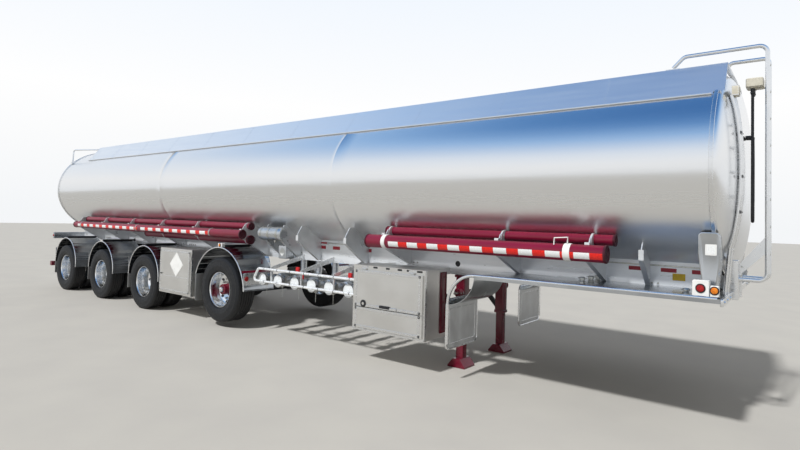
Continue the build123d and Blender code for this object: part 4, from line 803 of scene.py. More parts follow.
parts = [bar((x, -1.258, 0.396), (0, 0, 0.808), (0, 0.026, 0), (0.004, 0, 0)) for x in (-1.9835, -0.9355)]
piece("small_cabinet_edges", parts, bright)


# Outriggers and hose tubes
# Bright brackets carry maroon plastic tubes that hold the delivery hoses, with
# dark end caps and saddles at the brackets. Some have straps, and the outer ones
# blank reflective patches.

# Aluminium plate: pale grey and half diffuse, a painted reflection of the sky that keeps it bright in the shade,
# with a faint mottle.
gusset_sheet = worn("gusset_plate_painted_sky_reflection", "#d0d3d6", "#e0e3e5", 0.45, 0.26, 0.4, (0.2, 0.2, 0.2))
dress(gusset_sheet, "outrigger_gussets")
# Enamelled tube: satin maroon with faint streaks along it, painted darker than its own colour as shade under the
# tank.
tube_maroon = worn("maroon_tube_enamel", "#730b2a", "#800f32", 0.0, 0.3, 0.44, (0.5, 0.1, 0.1), 0.0003)
# Moulded cap: near black with a maroon cast.
dark_maroon = worn("dark_maroon_cap", "#3a0716", "#4a0a1e", 0.0, 0.3, 0.5, (0.03, 0.03, 0.03), 0.0003)
shell_under = [(-y, tank_middle - (tank_half_high + 0.0006) * sqrt(1 - (y / tank_half_wide) ** 2))
               for y in np.linspace(0.88, 0.582, 8)]
profile = [(-0.5806, 1.2404), (-0.64, 1.2404), (-0.93, 1.5), (-0.93, 1.6)] + shell_under
parts = [slab(profile, 6.344, 6.356, "X", 0.002),
         bar((6.325, -0.64, 1.2425), (0, -0.29, 0.2596), (0.05, 0, 0), (0, -0.006, -0.0067)),
         bar((6.325, -0.93, 1.5), (0, 0, 0.1), (0.05, 0, 0), (0, -0.008, 0))]
piece("deck_gussets", mirrored(parts), gusset_sheet)
# Each tube: start and end along X, its middle's Y and Z and its radius, the Y and Z
# of its brackets' hole, whether the hole is whole, and the places of its straps.
front_outer, rear_outer = (1.2, 1.55, 0.083), (1.163, 1.527, 0.069)
front_tubes = ((3.11, 6.09, *front_outer, 1.195, 1.562, False, ()),
               (3.25, 6.11, 0.985, 1.68, 0.055, 1.003, 1.65, True, (4.93,)))
rear_tubes = ((-5.99, 0.34, *rear_outer, 1.16, 1.535, False, (-5.63, -3.06, -0.5)),
              (-5.79, 0.33, 0.988, 1.655, 0.056, 1.0, 1.64, True, ()),
              (-3.0, 0.33, 0.99, 1.435, 0.07, 0.99, 1.44, True, ()))
# Each group: its tubes, the radius of the holes and the places of the brackets.
tube_groups = ((front_tubes, 0.0953, (3.33, 4.93, 5.915)),
               (rear_tubes, 0.0783, (-5.9, -4.7, -3.5, -2.3, -1.1, 0.29)))


def saddle(x, y, z, radius, hole_y, hole_z, hole, whole):
    """A block that fills a bracket's round hole about a tube: rows (y + r cos t, z + r sin t) round the hole
    and the tube, right round where the bracket encloses the tube, else over its inner half."""
    t = np.linspace(0, 2 * pi, 40, endpoint=False) if whole else np.linspace(-1.6, 1.6, 24)
    wide = 0.01 if whole else 0.024
    outer = np.stack([-hole_y + hole * np.cos(t), hole_z + hole * np.sin(t)], -1)
    inner = np.stack([-y + (radius + 0.0003) * np.cos(t), z + (radius + 0.0003) * np.sin(t)], -1)
    rows = [lay("X", x - wide, outer), lay("X", x + wide, outer), lay("X", x + wide, inner),
            lay("X", x - wide, inner)]
    verts, faces = grid(np.stack(rows), True, whole)
    return verts, faces if whole else faces + [[k * 24 for k in range(4)], [k * 24 + 23 for k in range(4)]]


tubes, caps, straps, saddles = [], [], [], []
for group, hole, brackets in tube_groups:
    for start, end, y, z, radius, hole_y, hole_z, whole, strap_spots in group:
        saddles += [saddle(x, y, z, radius, hole_y, hole_z, hole, whole) for x in brackets if start < x < end]
        outer = [(radius, x) for x in np.linspace(start, end, 12)]
        tubes.append(turned(outer + [(radius - 0.004, end), (radius - 0.004, start)], (0, -y, z), "X", 56))
        profile = [(0, -0.012), (radius - 0.005, -0.012), (radius - 0.005, 0.0003), (radius + 0.005, 0.0003),
                   (radius + 0.006, 0.002), (radius + 0.006, 0.018), (radius + 0.003, 0.0215),
                   (radius - 0.012, 0.0223), (radius - 0.016, 0.017), (0.02, 0.017), (0.016, 0.0215),
                   (0, 0.0215)]
        for x, out in ((start, -1), (end, 1)):
            caps.append(turned([(r, x + out * d) for r, d in profile], (0, -y, z), "X", 56))
        for x in strap_spots:
            straps.append(turned(sleeve(radius + 0.0005, radius + 0.004, x - 0.018, x + 0.018),
                                 (0, -y, z), "X", 56))
            straps.append(hexes([(x, -y, z + radius + 0.004)], 0.01, 0.009))
piece("maroon_tubes", mirrored(tubes), tube_maroon, replaces=["hose_tubes"])
piece("tube_end_caps", mirrored(caps), dark_maroon, replaces=["hose_tubes"])
piece("tube_straps", mirrored(straps), zinc)
piece("tube_saddles", mirrored(saddles), gusset_sheet)


def patch(start, end, low, high, y, z, radius):
    """A thin patch round part of a tube on the kerb side: between two places along X and two angles in
    degrees below the tube's outer side, at (-y - r cos t, z - r sin t)."""
    t = np.radians(np.linspace(low, high, 9))
    rows = [np.stack([-y - r * np.cos(t), z - r * np.sin(t)], -1) for r in (radius + 0.0002, radius + 0.0008)]
    section = np.concatenate([rows[0], rows[1][::-1]])
    verts, faces = grid(np.stack([lay("X", start, section), lay("X", end, section)]), False, True)
    count = len(section)
    return verts, faces + [list(range(count)), list(range(count, 2 * count))]


white_blocks, red_blocks = [], []
for x in np.arange(3.556, 6.0, 0.2915):
    white_blocks.append(patch(x - 0.077, x + 0.077, -6, 40, *front_outer))
    red_blocks.append(patch(x + 0.078, x + 0.213, -6, 40, *front_outer))
for start, count, step in ((-5.685, 9, 0.309), (-2.768, 8, 0.296)):
    for x in start + step * np.arange(count):
        white_blocks.append(patch(x - 0.085, x + 0.085, -18, 32, *rear_outer))
        red_blocks.append(patch(x + 0.086, x + step - 0.086, -18, 32, *rear_outer))
# The same tape in a clear signal red.
tape_bright = tape("bright_red_reflective_tape", "#e01a12", "#ee2415", "#c9120f")
piece("tube_patches_white", white_blocks, tape_white)
piece("tube_patches_red", red_blocks, tape_bright)
parts = []
for left, end in ((3.36, 3.42), (5.7, 5.77)):
    band = [(0.084, left), (0.089, left), (0.09, left + 0.003), (0.09, end - 0.003), (0.089, end),
            (0.084, end)]
    parts.append(turned(band, (0, -front_outer[0], front_outer[1]), "X", 56))
loop = np.array([(5.6, -1.245, 1.62), (5.6, -1.235, 1.69), (5.735, -1.225, 1.7), (5.735, -1.235, 1.636)])
parts.append(swept(loop, [(-0.005, -0.011), (0.005, -0.011), (0.005, 0.011), (-0.005, 0.011)],
                   (0.1, -0.99, 0)))
piece("tube_bands", mirrored(parts), white)


# Air reservoirs
# Welded aluminium tanks hung by two straps, with a seam, a drain and a fitting.
dress(satin, "air_reservoirs")
drain_shape = [(0, 0), (0.016, 0), (0.016, -0.02), (0.009, -0.024), (0.009, -0.036), (0, -0.036)]
parts = [turned(sleeve(0.1045, 0.1085, x - 0.018, x + 0.018), (0, -1.01, 1.56), "X", 56)
         for x in (0.73, 0.91, 1.11)]
parts.append(turned(drain_shape, (0.98, -1.01, 1.4555), "Z", 20))
piece("reservoir_straps", mirrored(parts), zinc)


# Loading pipes and adaptors
# Bent alloy pipes run from a row of flanged adaptors in under the rail and up to
# the shell. Two have a red hand valve, and a white ribbed cap with two cam levers
# shuts each.
adaptors, pipe_z = (0.93, 1.295, 1.668, 2.024, 2.375, 2.742), 0.862
bend = np.linspace(0, pi / 2, 10)
mouth_shape = [(0, -1.075), (0.074, -1.075), (0.076, -1.08), (0.076, -1.1448), (0, -1.1448)]
valve_shape = [(0.0515, -0.87), (0.066, -0.862), (0.073, -0.835), (0.073, -0.745), (0.066, -0.718),
               (0.0515, -0.71)]
root_shape = [(0.0515, 1.33), (0.06, 1.332), (0.076, 1.37), (0.076, 1.4), (0.0515, 1.4)]
flange_shape = [(0.052, -1.09), (0.088, -1.09), (0.09, -1.092), (0.09, -1.1), (0.088, -1.102),
                (0.075, -1.102)]
ring_shape = [(0.0515, -0.93), (0.066, -0.93), (0.068, -0.935), (0.068, -0.965), (0.066, -0.97),
              (0.0515, -0.97)]
groove_shape = [(0.076, -1.128), (0.08, -1.13), (0.08, -1.138), (0.076, -1.14)]
parts, flanges = [], []
for x in adaptors:
    line = np.stack([np.full(10, x), -0.47 + 0.11 * np.sin(bend), 0.972 - 0.11 * np.cos(bend)], -1)
    line = np.concatenate([[(x, -1.085, pipe_z)], line, [(x, -0.36, 1.409)]])
    parts.append(swept(line, circle(0.052, 28), (1, 0, 0)))
    parts += [turned(mouth_shape, (x, 0, pipe_z), "Y", 48), turned(valve_shape, (x, 0, pipe_z), "Y", 40),
              turned(root_shape, (x, -0.36, 0), "Z", 40)]
    bolts = [(x + dx, -1.09, pipe_z + dz) for dx, dz in around(0.081, 8, pi / 8)]
    flanges += [turned(flange_shape, (x, 0, pipe_z), "Y", 48), hexes(bolts, 0.008, 0.009, "Y"),
                turned(ring_shape, (x, 0, pipe_z), "Y", 40), turned(groove_shape, (x, 0, pipe_z), "Y", 48)]
piece("bent_pipes", parts, satin, replaces=["loading_pipes"])
piece("adaptor_flanges", flanges, steel)
# Dipped handle: a plain signal red with a soft shine.
handle_red = worn("red_valve_handle", "#c01c22", "#d42a2c", 0.0, 0.3, 0.45, (0.03, 0.03, 0.03))
knob_shape = [(0, 1.019), (0.024, 1.019), (0.026, 1.023), (0.02, 1.031), (0, 1.033)]
grips = []
for x in (adaptors[2], adaptors[5]):
    grips += [turned(pin(0.014, 0.905, 1.0), (x, -1.025, 0), "Z", 24),
              block((x - 0.14, -1.0425, 0.998), (x + 0.024, -1.0075, 1.0195), "Y", 0.006, 0.003, 3),
              block((x - 0.152, -1.0425, 1.0), (x - 0.09, -1.0075, 1.082), "Y", 0.014, 0.004, 4),
              turned(knob_shape, (x, -1.025, 0), "Z", 24)]
piece("valve_handles", grips, handle_red, replaces=["loading_pipes"])
# Moulded nylon: a cool white, satin, with soft edges.
nylon = worn("white_nylon", "#e4e8ea", "#f1f4f5", 0.0, 0.28, 0.46, (0.03, 0.03, 0.03), 0.0003)
disc_shape = [(0, -1.1806), (0.087, -1.1806), (0.0895, -1.184), (0.0885, -1.1895), (0.08, -1.1905),
              (0.076, -1.187), (0.03, -1.1865), (0.027, -1.19), (0, -1.1905)]
wall_shape = [(0, -1.1456), (0.0865, -1.1456), (0.092, -1.15), (0.092, -1.156), (0.0865, -1.159),
              (0.0865, -1.176), (0.092, -1.179), (0.092, -1.1835), (0.0885, -1.1843), (0, -1.1843)]
chain_t = np.linspace(0, 2 * pi, 14, endpoint=False)
parts, walls, levers = [], [], []
for x in adaptors:
    parts.append(turned(disc_shape, (x, 0, pipe_z), "Y", 56))
    walls.append(turned(wall_shape, (x, 0, pipe_z), "Y", 56))
    for a in np.arange(6) * pi / 3:
        out, turn = np.array([cos(a), 0, sin(a)]), np.array([-sin(a), 0, cos(a)])
        parts.append(bar(np.array([x, -1.186, pipe_z]) + out * 0.026 - turn * 0.002, out * 0.05, turn * 0.004,
                         (0, -0.0035, 0)))
    for side in (-1, 1):
        near, far = sorted((x + side * 0.0765, x + side * 0.0895))
        levers.append(slab([(near, -1.122), (far, -1.122), (far, -1.096), (near, -1.096)], 0.818, 0.926,
                           "Z", 0.002))
        levers.append(turned(pin(0.011, -1.0945, -1.124), (x + side * 0.083, 0, 0.9), "Y", 20))
    levers.append(block((x - 0.017, -1.105, 0.764), (x + 0.017, -1.085, 0.7855), "Y", 0.004, 0.002, 2))
    for k in range(9):
        wide, deep = (0.0038, 0) if k % 2 else (0, 0.0038)
        link = np.stack([x + wide * np.cos(chain_t), -1.095 + deep * np.cos(chain_t),
                         0.757 - 0.0155 * k + 0.009 * np.sin(chain_t)], -1)
        up = (0.02, 0.9, 0.03) if k % 2 else (0.9, 0.02, 0.03)
        levers.append(swept(link, circle(0.0016, 6), up, closed=True))
piece("cap_discs", parts, nylon, replaces=["adaptor_caps"])
piece("cap_walls", walls, steel, replaces=["adaptor_caps"])
piece("cam_levers", levers, zinc, replaces=["adaptor_caps"])


# Guard bars and control box
# Silver-white painted bars that keep the adaptors from knocks, with black rings
# at the bays, and a grey sheet box behind with a small blank diamond plate.

# Silver-white paint: pale, smooth and glossy, with a trace of metal in it.
bar_paint = worn("silver_white_bar_paint", "#e2e5e7", "#eff1f2", 0.35, 0.2, 0.34, (0.08, 0.08, 0.08))
dress(bar_paint, "guard_bars")
parts = [turned(sleeve(0.0188, 0.0197, x - 0.006, x + 0.006), (0, -1.24, z), "X", 28)
         for x in np.arange(1.05, 2.85, 0.295) for z in (0.84, 1.03)]
piece("guard_rings", parts, rubber)
parts = [hexes([(x, web, z) for z in (1.18, 1.222)], 0.011, -0.009, "Y") for x in (1.185, 1.851, 2.505)]
piece("guard_bolts", parts, zinc)
parts = [block((0.94, -0.9, 1.17), (1.11, -0.72, 1.38), "X", 0.012, 0.004, 4),
         bar((0.955, -0.7205, 1.3), (0.14, 0, 0), (0, 0.1405, 0), (0, 0, 0.05))]
piece("valve_control_box", parts, satin)
diamond = slab([(1.025, 1.205), (1.095, 1.275), (1.025, 1.345), (0.955, 1.275)], -0.9025, -0.9, "Y", 0.0006)
piece("control_box_plate", [diamond], tape_white)


# Ladder
# Bent aluminium tube with knurled rungs. The outer rail runs over the coaming
# as a hoop; a plate and screwed clamps tie it to the bright posts.

# Knurled tube: bright aluminium crossed by a fine cut, which softens the shine.
# The cut, about 1 mm wide, is drawn as 2.5 cm bands so that it shows.
knurled, tree, shader = finish("knurled_aluminium_tube", "#e6e8ea", metallic=1.0, roughness=0.28)
vary(tree, shader, pattern(tree, 0.1, 0.1, 0.1), Roughness=(0.22, 0.36))
grip = pattern(tree, 0.05, 0.05, 0.05, kind="Wave", Scale=2.0, Distortion=0.0)
vary(tree, shader, grip, Normal=0.0002)
dress(knurled, "ladder")
ladder_x, ladder_sides = 7.345, ((-0.618, 1), (-0.36, -1))
collar_shape = [(0.0125, 0.018), (0.017, 0.018), (0.015, 0.03), (0.0125, 0.032)]
clamp_shape = [(0.0184, -0.014), (0.0189, -0.012), (0.0189, 0.012), (0.0184, 0.014)]
parts = [turned([(r, toward * d) for r, d in collar_shape], (ladder_x, y, z), "Y", 24)
         for z in 1.6 + 0.255 * np.arange(8) for y, toward in ladder_sides]
parts += [hexes([(7.15, -0.6235, z)], 0.009, -0.007, "Y") for z in (1.4, 1.48)]
piece("rung_collars", parts, zinc)
parts = [turned(clamp_shape, (ladder_x, y, z), "Z", 28) for y, toward in ladder_sides for z in (1.72, 2.98)]
piece("ladder_clamps", parts, plastic)


# Hose holder, air hose and cable
# A moulded pale holder on the ladder with black couplings under it. A spiral
# air hose and a cable hang from it and curve round to unions on the head.

# Moulded glass-filled plastic: a warm putty colour, dull and slightly grainy.
putty = worn("pale_moulded_holder", "#c9c4b4", "#d8d3c4", 0.0, 0.4, 0.6, (0.04, 0.04, 0.04), 0.0003)
holder_low, holder_y, port_x, ports = 3.1423, -0.489, 7.224, (-0.046, 0.0, 0.046)
parts = [block((7.17, holder_y - 0.085, holder_low + 0.008),
               (7.31, holder_y + 0.085, holder_low + 0.094), "Z", 0.02, 0.008, 5),
         block((7.2, holder_y - 0.03, holder_low), (7.355, holder_y + 0.03, holder_low + 0.0085), "Z",
               0.006, 0.002, 3)]
parts += [turned(sleeve(0.019, 0.026, 0.0, 0.0075), (port_x, holder_y + dy, holder_low), "Z", 28)
          for dy in ports]
piece("pale_holder", parts, putty, replaces=["hose_holder"])
profile = [(0, 0.008), (0.017, 0.008), (0.017, -0.03), (0.0195, -0.032), (0.0195, -0.046), (0.014, -0.05),
           (0.014, -0.0588), (0, -0.0588)]
parts = [turned(profile, (port_x, holder_y + dy, holder_low), "Z", 28) for dy in ports]
piece("holder_couplings", parts, plastic, replaces=["hose_holder"])


def rounded(corners, radius, steps=10):
    """Middle line of a bent tube: each corner becomes an arc that leaves its two runs at radius / tan h from
    it, where h is half the angle between them."""
    corners = np.asarray(corners, float)
    points = [corners[0]]
    for before, corner, after in zip(corners[:-2], corners[1:-1], corners[2:]):
        a, b = (before - corner) / np.linalg.norm(before - corner), (after - corner) / np.linalg.norm(after - corner)
        half = np.arccos(np.clip(a @ b, -1, 1)) / 2
        middle = corner + (a + b) / np.linalg.norm(a + b) * radius / sin(half)
        u, v = corner + a * radius / tan(half) - middle, corner + b * radius / tan(half) - middle
        whole = np.arccos(np.clip(u @ v / radius ** 2, -1, 1))
        points += [middle + (sin((1 - s) * whole) * u + sin(s * whole) * v) / sin(whole)
                   for s in np.linspace(0, 1, steps)]
    return np.array(points + [corners[-1]])


def spread(points, step):
    """A path's points set out again at even steps along it."""
    far = np.concatenate([[0], np.cumsum(np.linalg.norm(np.diff(points, axis=0), axis=1))])
    at_far = np.linspace(0, far[-1], int(far[-1] / step) + 1)
    return np.stack([np.interp(at_far, far, points[:, k]) for k in range(3)], -1)


def head_at(y, z):
    """How far forward the dished head stands at a place."""
    return tank_front + dish * sqrt(1 - (y / tank_half_wide) ** 2 - ((z - tank_middle) / tank_half_high) ** 2)


# Each hose: name, place under the holder, radius, lowest height, how far it
# comes back along Y, depth of its ribs and step along its path.
hose_rows = (("spiral_air_hose", -0.046, 0.014, 1.9, 0.13, 0.0022, 0.004),
             ("signal_cable", 0.0, 0.009, 2.06, 0.15, 0.0, 0.012))
union_z, hose_sides = 2.7, 14
for name, dy, radius, low, back, ribs, step in hose_rows:
    y, end_y = holder_y + dy, holder_y + dy + back
    union_x = head_at(end_y, union_z)
    line = rounded([(port_x, y, holder_low - 0.0593), (port_x, y, low), (7.22, end_y, low),
                    (7.22, end_y, 2.5), (union_x + 0.06, end_y, union_z)], 0.062)
    points, side, rise = path_frames(spread(line, step), (0.93, 0.02, 0.36))
    ring = circle(1.0, hose_sides)
    swell = radius - ribs * 0.5 * (1 - np.cos(np.arange(len(points)) * pi / 2))
    across = ring[None, :, :1] * side[:, None] + ring[None, :, 1:] * rise[:, None]
    verts, faces = grid(points[:, None] + swell[:, None, None] * across, False, True)
    faces += [list(range(hose_sides)), list(range(len(verts) - hose_sides, len(verts)))]
    profile = [(0, 0.004), (radius + 0.006, 0.004), (radius + 0.006, 0.045), (radius + 0.002, 0.06),
               (radius + 0.002, 0.07), (0, 0.07)]
    union = turned(profile, (union_x, end_y, union_z), "X", 24)
    piece(name, [(verts, faces), union], rubber, replaces=["air_hoses"])


# Head conduits
# Two thin pipes that follow the dished head, under dark clamps, from a pale
# junction box near the top.
dress(bright, "head_conduits")
clamp_spots = ((7.152, 2.7), (7.163, 2.3), (7.148, 1.98))
parts = [block((x - 0.0068, -0.7828, z - 0.0158), (x + 0.0068, -0.6712, z + 0.0158), "Z", 0.004, 0.003, 3)
         for x, z in clamp_spots]
parts += [hexes([(x + 0.0068, y, z) for y in (-0.775, -0.679)], 0.007, 0.005, "X") for x, z in clamp_spots]
piece("conduit_clamps", parts, black)
parts = [block((7.0785, -0.7865, 3.0445), (7.1375, -0.6795, 3.1355), "X", 0.01, 0.004, 4),
         block((7.1375, -0.7765, 3.0545), (7.1405, -0.6895, 3.1255), "X", 0.008, 0.001, 3)]
piece("junction_box", parts, putty)


# Fenders
# Thin polished sheet with pressed cross ribs and a tube bead along its outer
# edge, on tubes from the rails, over each twin pair and the steered wheel.

# Polished sheet in thin gauge: darker than the shell, mirror-like and uneven.
fender_sheet = worn("polished_fender_sheet", "#9da1a6", "#b9bdc1", 1.0, 0.1, 0.24, (0.3, 0.3, 0.3), 0.0006)


def arch(x, z, radius, low, high, start_run, end_run, spacing=9.0, rise=0.0045):
    """Middle line of a ribbed fender in X and Z: an arc with a pressed rib every few degrees and straight
    ends. The radius grows by rise * max(0, 1 - (d / 1.3) ** 2) at d degrees from a rib's middle."""
    t = np.linspace(low, high, int((high - low) / 0.75) + 1)
    d = np.abs((t - low + spacing / 2) % spacing - spacing / 2)
    r = radius + rise * np.maximum(0, 1 - (d / 1.3) ** 2)
    line = np.stack([x + r * np.cos(np.radians(t)), z + r * np.sin(np.radians(t))], -1)
    first = np.array([[line[0, 0] + start_run * sin(radians(low)),
                       line[0, 1] - start_run * cos(radians(low))]])
    last = np.array([[line[-1, 0] - end_run * sin(radians(high)),
                      line[-1, 1] + end_run * cos(radians(high))]])
    return np.concatenate([first] * (start_run > 0) + [line] + [last] * (end_run > 0))


def sheet(line, low, high, thick):
    """A sheet of a thickness whose edge follows a line in X and Z, from one Y to another."""
    way = np.gradient(line, axis=0)
    way /= np.linalg.norm(way, axis=1, keepdims=True)
    across = np.stack([way[:, 1], -way[:, 0]], -1)
    outline = np.concatenate([line + across * thick / 2, (line - across * thick / 2)[::-1]])
    rows = np.stack([lay("Y", low, outline), lay("Y", high, outline)])
    verts, faces = grid(rows, False, True)
    n, m = len(line), len(outline)
    for k in (0, m):
        faces += [[k + i, k + i + 1, k + m - 2 - i, k + m - 1 - i] for i in range(n - 1)]
    return verts, faces


# A fender's height, radius, start and end angle, its sheet's and its bead's
# straight runs, its inner edge and its tube's height.
twin_fender = (0.625, 0.5745, 0, 180, (0.062, 0.003), (0.06, 0.0), -0.65, 1.2235)
steer_fender = (steer_z, 0.6915, 3, 160, (0.0, 0.03), (0.0, 0.03), -0.7, 1.318)
fender_edge, fender_bead, rail_y = -1.288, -1.2805, -0.5805
sheets, beads, tubes = [], [], []
for x, row in [(x, twin_fender) for x in axles] + [(steer_x, steer_fender)]:
    z, radius, low, high, runs, bead_runs, inner_y, tube_z = row
    sheets.append(sheet(arch(x, z, radius, low, high, *runs), fender_edge, inner_y, 0.004))
    smooth = arch(x, z, radius, low, high, *bead_runs, rise=0.0)
    beads.append(swept(np.insert(smooth, 1, fender_bead, axis=1), circle(0.0093, 12), (0, 1, 0)))
    tubes += [turned(pin(r, y, rail_y), (x, 0, tube_z), "Y", 28)
              for r, y in ((0.0195, -1.25), (0.035, -0.59))]
box = block((-0.151, -1.2707, 1.3015), (-0.039, -1.2095, 1.3665), "Y", 0.01, 0.004, 4)
piece("fender_sheets", mirrored(sheets), fender_sheet, replaces=["fenders"])
piece("fender_beads", mirrored(beads), bright, replaces=["fenders"])
piece("fender_tubes", mirrored(tubes), black, replaces=["fenders"])
piece("marker_box", mirrored([box]), white, replaces=["fenders"])
end_x = steer_x + 0.6935 * cos(radians(3.4))
plate = block((end_x - 0.003, fender_edge, 0.74), (end_x + 0.006, -0.72, 0.93), "X", 0.02, 0.002, 4)
piece("fender_end_plate", mirrored([plate]), bright)
# A maroon strip on the steered fender's sheet: a painted reflection of maroon parts in the polished fender.
strip_x, strip_z = steer_x + 0.698 * cos(radians(30)), steer_z + 0.698 * sin(radians(30))
strip = bar((strip_x, -1.27, strip_z), (0, 0.55, 0), (0.02, 0, -0.035), (0.0016, 0, 0.0009))
piece("fender_painted_maroon_reflection", mirrored([strip]), maroon)
dot_shape = [(0, 0), (0.038, 0), (0.038, 0.004), (0.034, 0.0065), (0, 0.0065)]
dot = turned(dot_shape, (end_x + 0.0062, -1.235, 0.838), "X", 32)
piece("fender_end_reflectors", mirrored([dot]), red_lens)


# Mudflaps
# Pale flaps of ribbed sheet behind the twin wheels, under the decks' curl and on
# the steered fender, each screwed on under a bright strip.

# Ribbed aluminium sheet left to the weather: a dull, streaked pale grey.
flap = worn("weathered_flap_sheet", "#b2b3b4", "#c6c8c9", 0.55, 0.34, 0.52, (0.2, 0.15, 0.25), 0.001)
dress(flap, "mudflaps")
parts = []
for x in (-6.8143, -4.9843, -3.1543):
    parts.append(block((x - 0.0135, -1.28, 0.9), (x - 0.0002, -0.66, 0.935), "X", 0.004, 0.002, 2))
    parts.append(hexes([(x - 0.0135, y, 0.9175) for y in np.linspace(-1.24, -0.7, 6)], 0.008, -0.006, "X"))
parts.append(block((4.3702, -1.27, 0.885), (4.3765, -0.6, 0.915), "X", 0.003, 0.001, 2))
parts.append(bar((-0.763, -1.27, 0.78), (0, 0.54, 0), (0.006, 0, 0.002), (0, 0, 0.035)))
piece("flap_strips", mirrored(parts), zinc)
parts = [block((-0.7565, -1.281, 0.36), (-0.7505, -0.715, 0.815), "X", 0.03, 0.0015, 5)]
piece("steer_flaps", mirrored(parts), flap)
outer_rim = rectangle(-1.283, -0.592, 0.374, 0.93, 0.06, 8)
inner_rim = rectangle(-1.225, -0.655, 0.435, 0.83, 0.03, 5)
parts = []
for x, rim, radius, count in ((4.3645, outer_rim, 0.0105, 10), (4.3705, inner_rim, 0.003, 8)):
    line = spread(np.array([(x, y, z) for y, z in rim + rim[:1]]), 0.02)[:-1]
    parts.append(swept(line, circle(radius, count), (1, 0, 0), closed=True))
piece("flap_rims", mirrored(parts), bright)


# Axles and suspension
# Round axle beams in trailing arms that turn on hangers and stand on rubber air
# springs, with U-bolts round each beam and a brake chamber behind it.

# Painted steel rod: charcoal with a slight shine.
tie = worn("painted_tie_rod", "#1b1c1f", "#2e3034", 0.2, 0.3, 0.5, (0.03, 0.03, 0.03))
dress(black, "axle_beams", "suspension_hangers", "trailing_arms", "steer_axle", "steer_knuckle_right",
      "steer_knuckle_left")
dress(tie, "tie_rod")
wheel_z, arm_y, can_y = 0.515, 0.53, 0.34
bag_shape = [(0, 0.8), (0.07, 0.8), (0.09, 0.808), (0.108, 0.83), (0.114, 0.865), (0.112, 0.905),
             (0.1, 0.935), (0.097, 0.945), (0.1, 0.955), (0.112, 0.985), (0.115, 1.03), (0.111, 1.075),
             (0.098, 1.11), (0.085, 1.128), (0, 1.128)]
can_shape = [(0, -0.3185), (0.03, -0.3185), (0.05, -0.312), (0.066, -0.295), (0.07, -0.262), (0.07, -0.228),
             (0.078, -0.226), (0.078, -0.208), (0.07, -0.206), (0.068, -0.16), (0.055, -0.138),
             (0.034, -0.134), (0.034, -0.0645), (0, -0.0645)]
band_shape = [(0.0775, -0.224), (0.0805, -0.222), (0.0805, -0.212), (0.0775, -0.21)]
u_shape = ((-0.078, 0.66), (-0.078, 0.44), (0.078, 0.44), (0.078, 0.66))
hoops, bags, plates, cans, bands = [], [], [], [], []
for x in axles:
    for y in (-arm_y, arm_y):
        for dy in (-0.052, 0.052):
            over = rounded([(x + dx, y + dy, z) for dx, z in u_shape], 0.07)
            hoops.append(swept(over, circle(0.008, 10), (0, 1, 0)))
            hoops.append(hexes([(x + dx, y + dy, 0.655) for dx in (-0.078, 0.078)], 0.014, 0.014))
        bags.append(turned(bag_shape, (x - 0.33, y, 0), "Z", 44))
        plates.append(turned(pin(0.1, 1.128, 1.1495), (x - 0.33, y, 0), "Z", 44))
    for y in (-can_y, can_y):
        cans.append(turned(can_shape, (x, y, wheel_z), "X", 40))
        bands.append(turned(band_shape, (x, y, wheel_z), "X", 40))
piece("u_bolts", hoops, zinc)
piece("rubber_bellows", bags, rubber, replaces=["air_springs"])
piece("bellows_plates", plates, zinc, replaces=["air_springs"])
piece("brake_cans", cans, black, replaces=["brake_chambers"])
piece("brake_can_bands", bands, zinc)


# Wheels
# Forged and polished aluminium wheels, deep-dished with ten hand holes, bolted
# back to back in pairs on a hub and drum; the steered ones are single.

# Forged aluminium, polished by hand: the brightest metal here, nearly a mirror.
forged, tree, shader = finish("polished_forged_wheel", "#f0f1f2", metallic=1.0, roughness=0.16)
vary(tree, shader, pattern(tree, 0.05, 0.05, 0.05), Roughness=(0.12, 0.22))
# Cast iron drum: dark brown-grey and rough, with a bloom of rust.
iron = worn("brake_drum_iron", "#2b2623", "#3d342d", 0.4, 0.5, 0.8, (0.03, 0.03, 0.03), 0.0005)
sides = ((-1, "right"), (1, "left"))
twin_y, dish_radius, dish_wide = 0.9835, 0.2, 0.062


def pierced(inner, outer, middle, hole, count, depth, thick):
    """A dished disc with round hand holes, as (radius, angle, depth) points turned to X, Z and Y. Each
    sector's border is joined to its hole by rings; the face stands at depth(r) and the
    back a thickness behind it."""
    half = pi / count
    side, ones = np.linspace(-1, 1, 7)[:-1], np.ones(6)
    u, v = np.concatenate([side, ones, -side, -ones]), np.concatenate([-ones, side, ones, -side])
    phi = np.arctan2(v, u)
    edge = np.stack([u * half, inner + (v + 1) / 2 * (outer - inner)], -1)
    bore = np.stack([hole * np.cos(phi) / middle, middle + hole * np.sin(phi)], -1)
    mixes = np.array([0, 0.35, 0.7, 0.93, 1.0])[:, None, None]
    front = edge * (1 - mixes) + bore * mixes
    flat = np.concatenate([front, front[::-1]])
    drop = np.concatenate([np.where(mixes[..., 0] == 1, 0.0015, 0) * np.ones(24), np.full((5, 24), thick)])
    parts = []
    for k in range(count):
        theta, r = flat[..., 0] + 2 * half * k, flat[..., 1]
        parts.append(grid(np.stack([r * np.cos(theta), depth(r) - drop, r * np.sin(theta)], -1), False, True))
    theta = -half + np.arange(6 * count) * 2 * half / 6
    for r in (inner, outer):
        level = float(depth(np.array(r)))
        rows = [np.stack([r * np.cos(theta), np.full(len(theta), level - d), r * np.sin(theta)], -1)
                for d in (0, thick)]
        parts.append(grid(np.stack(rows), False, True))
    return join(*parts)


def stand(parts, x, y, z, side):
    """Parts drawn about the origin with +Y outwards, set on a wheel's centre on one side."""
    verts, faces = join(*parts)
    return verts * (1, side, 1) + (x, y, z), faces


def twin_depth(r):
    """How far out a twin wheel's disc stands: its rim side rises by the square of the way across the dish."""
    return 0.014 + 0.05 * np.clip((r - dish_radius) / dish_wide, 0, 1) ** 2


def single_depth(r):
    """How far out a single wheel's disc stands: the same rise, shallower and set further in."""
    return -0.045 + 0.03 * np.clip((r - dish_radius) / dish_wide, 0, 1) ** 2


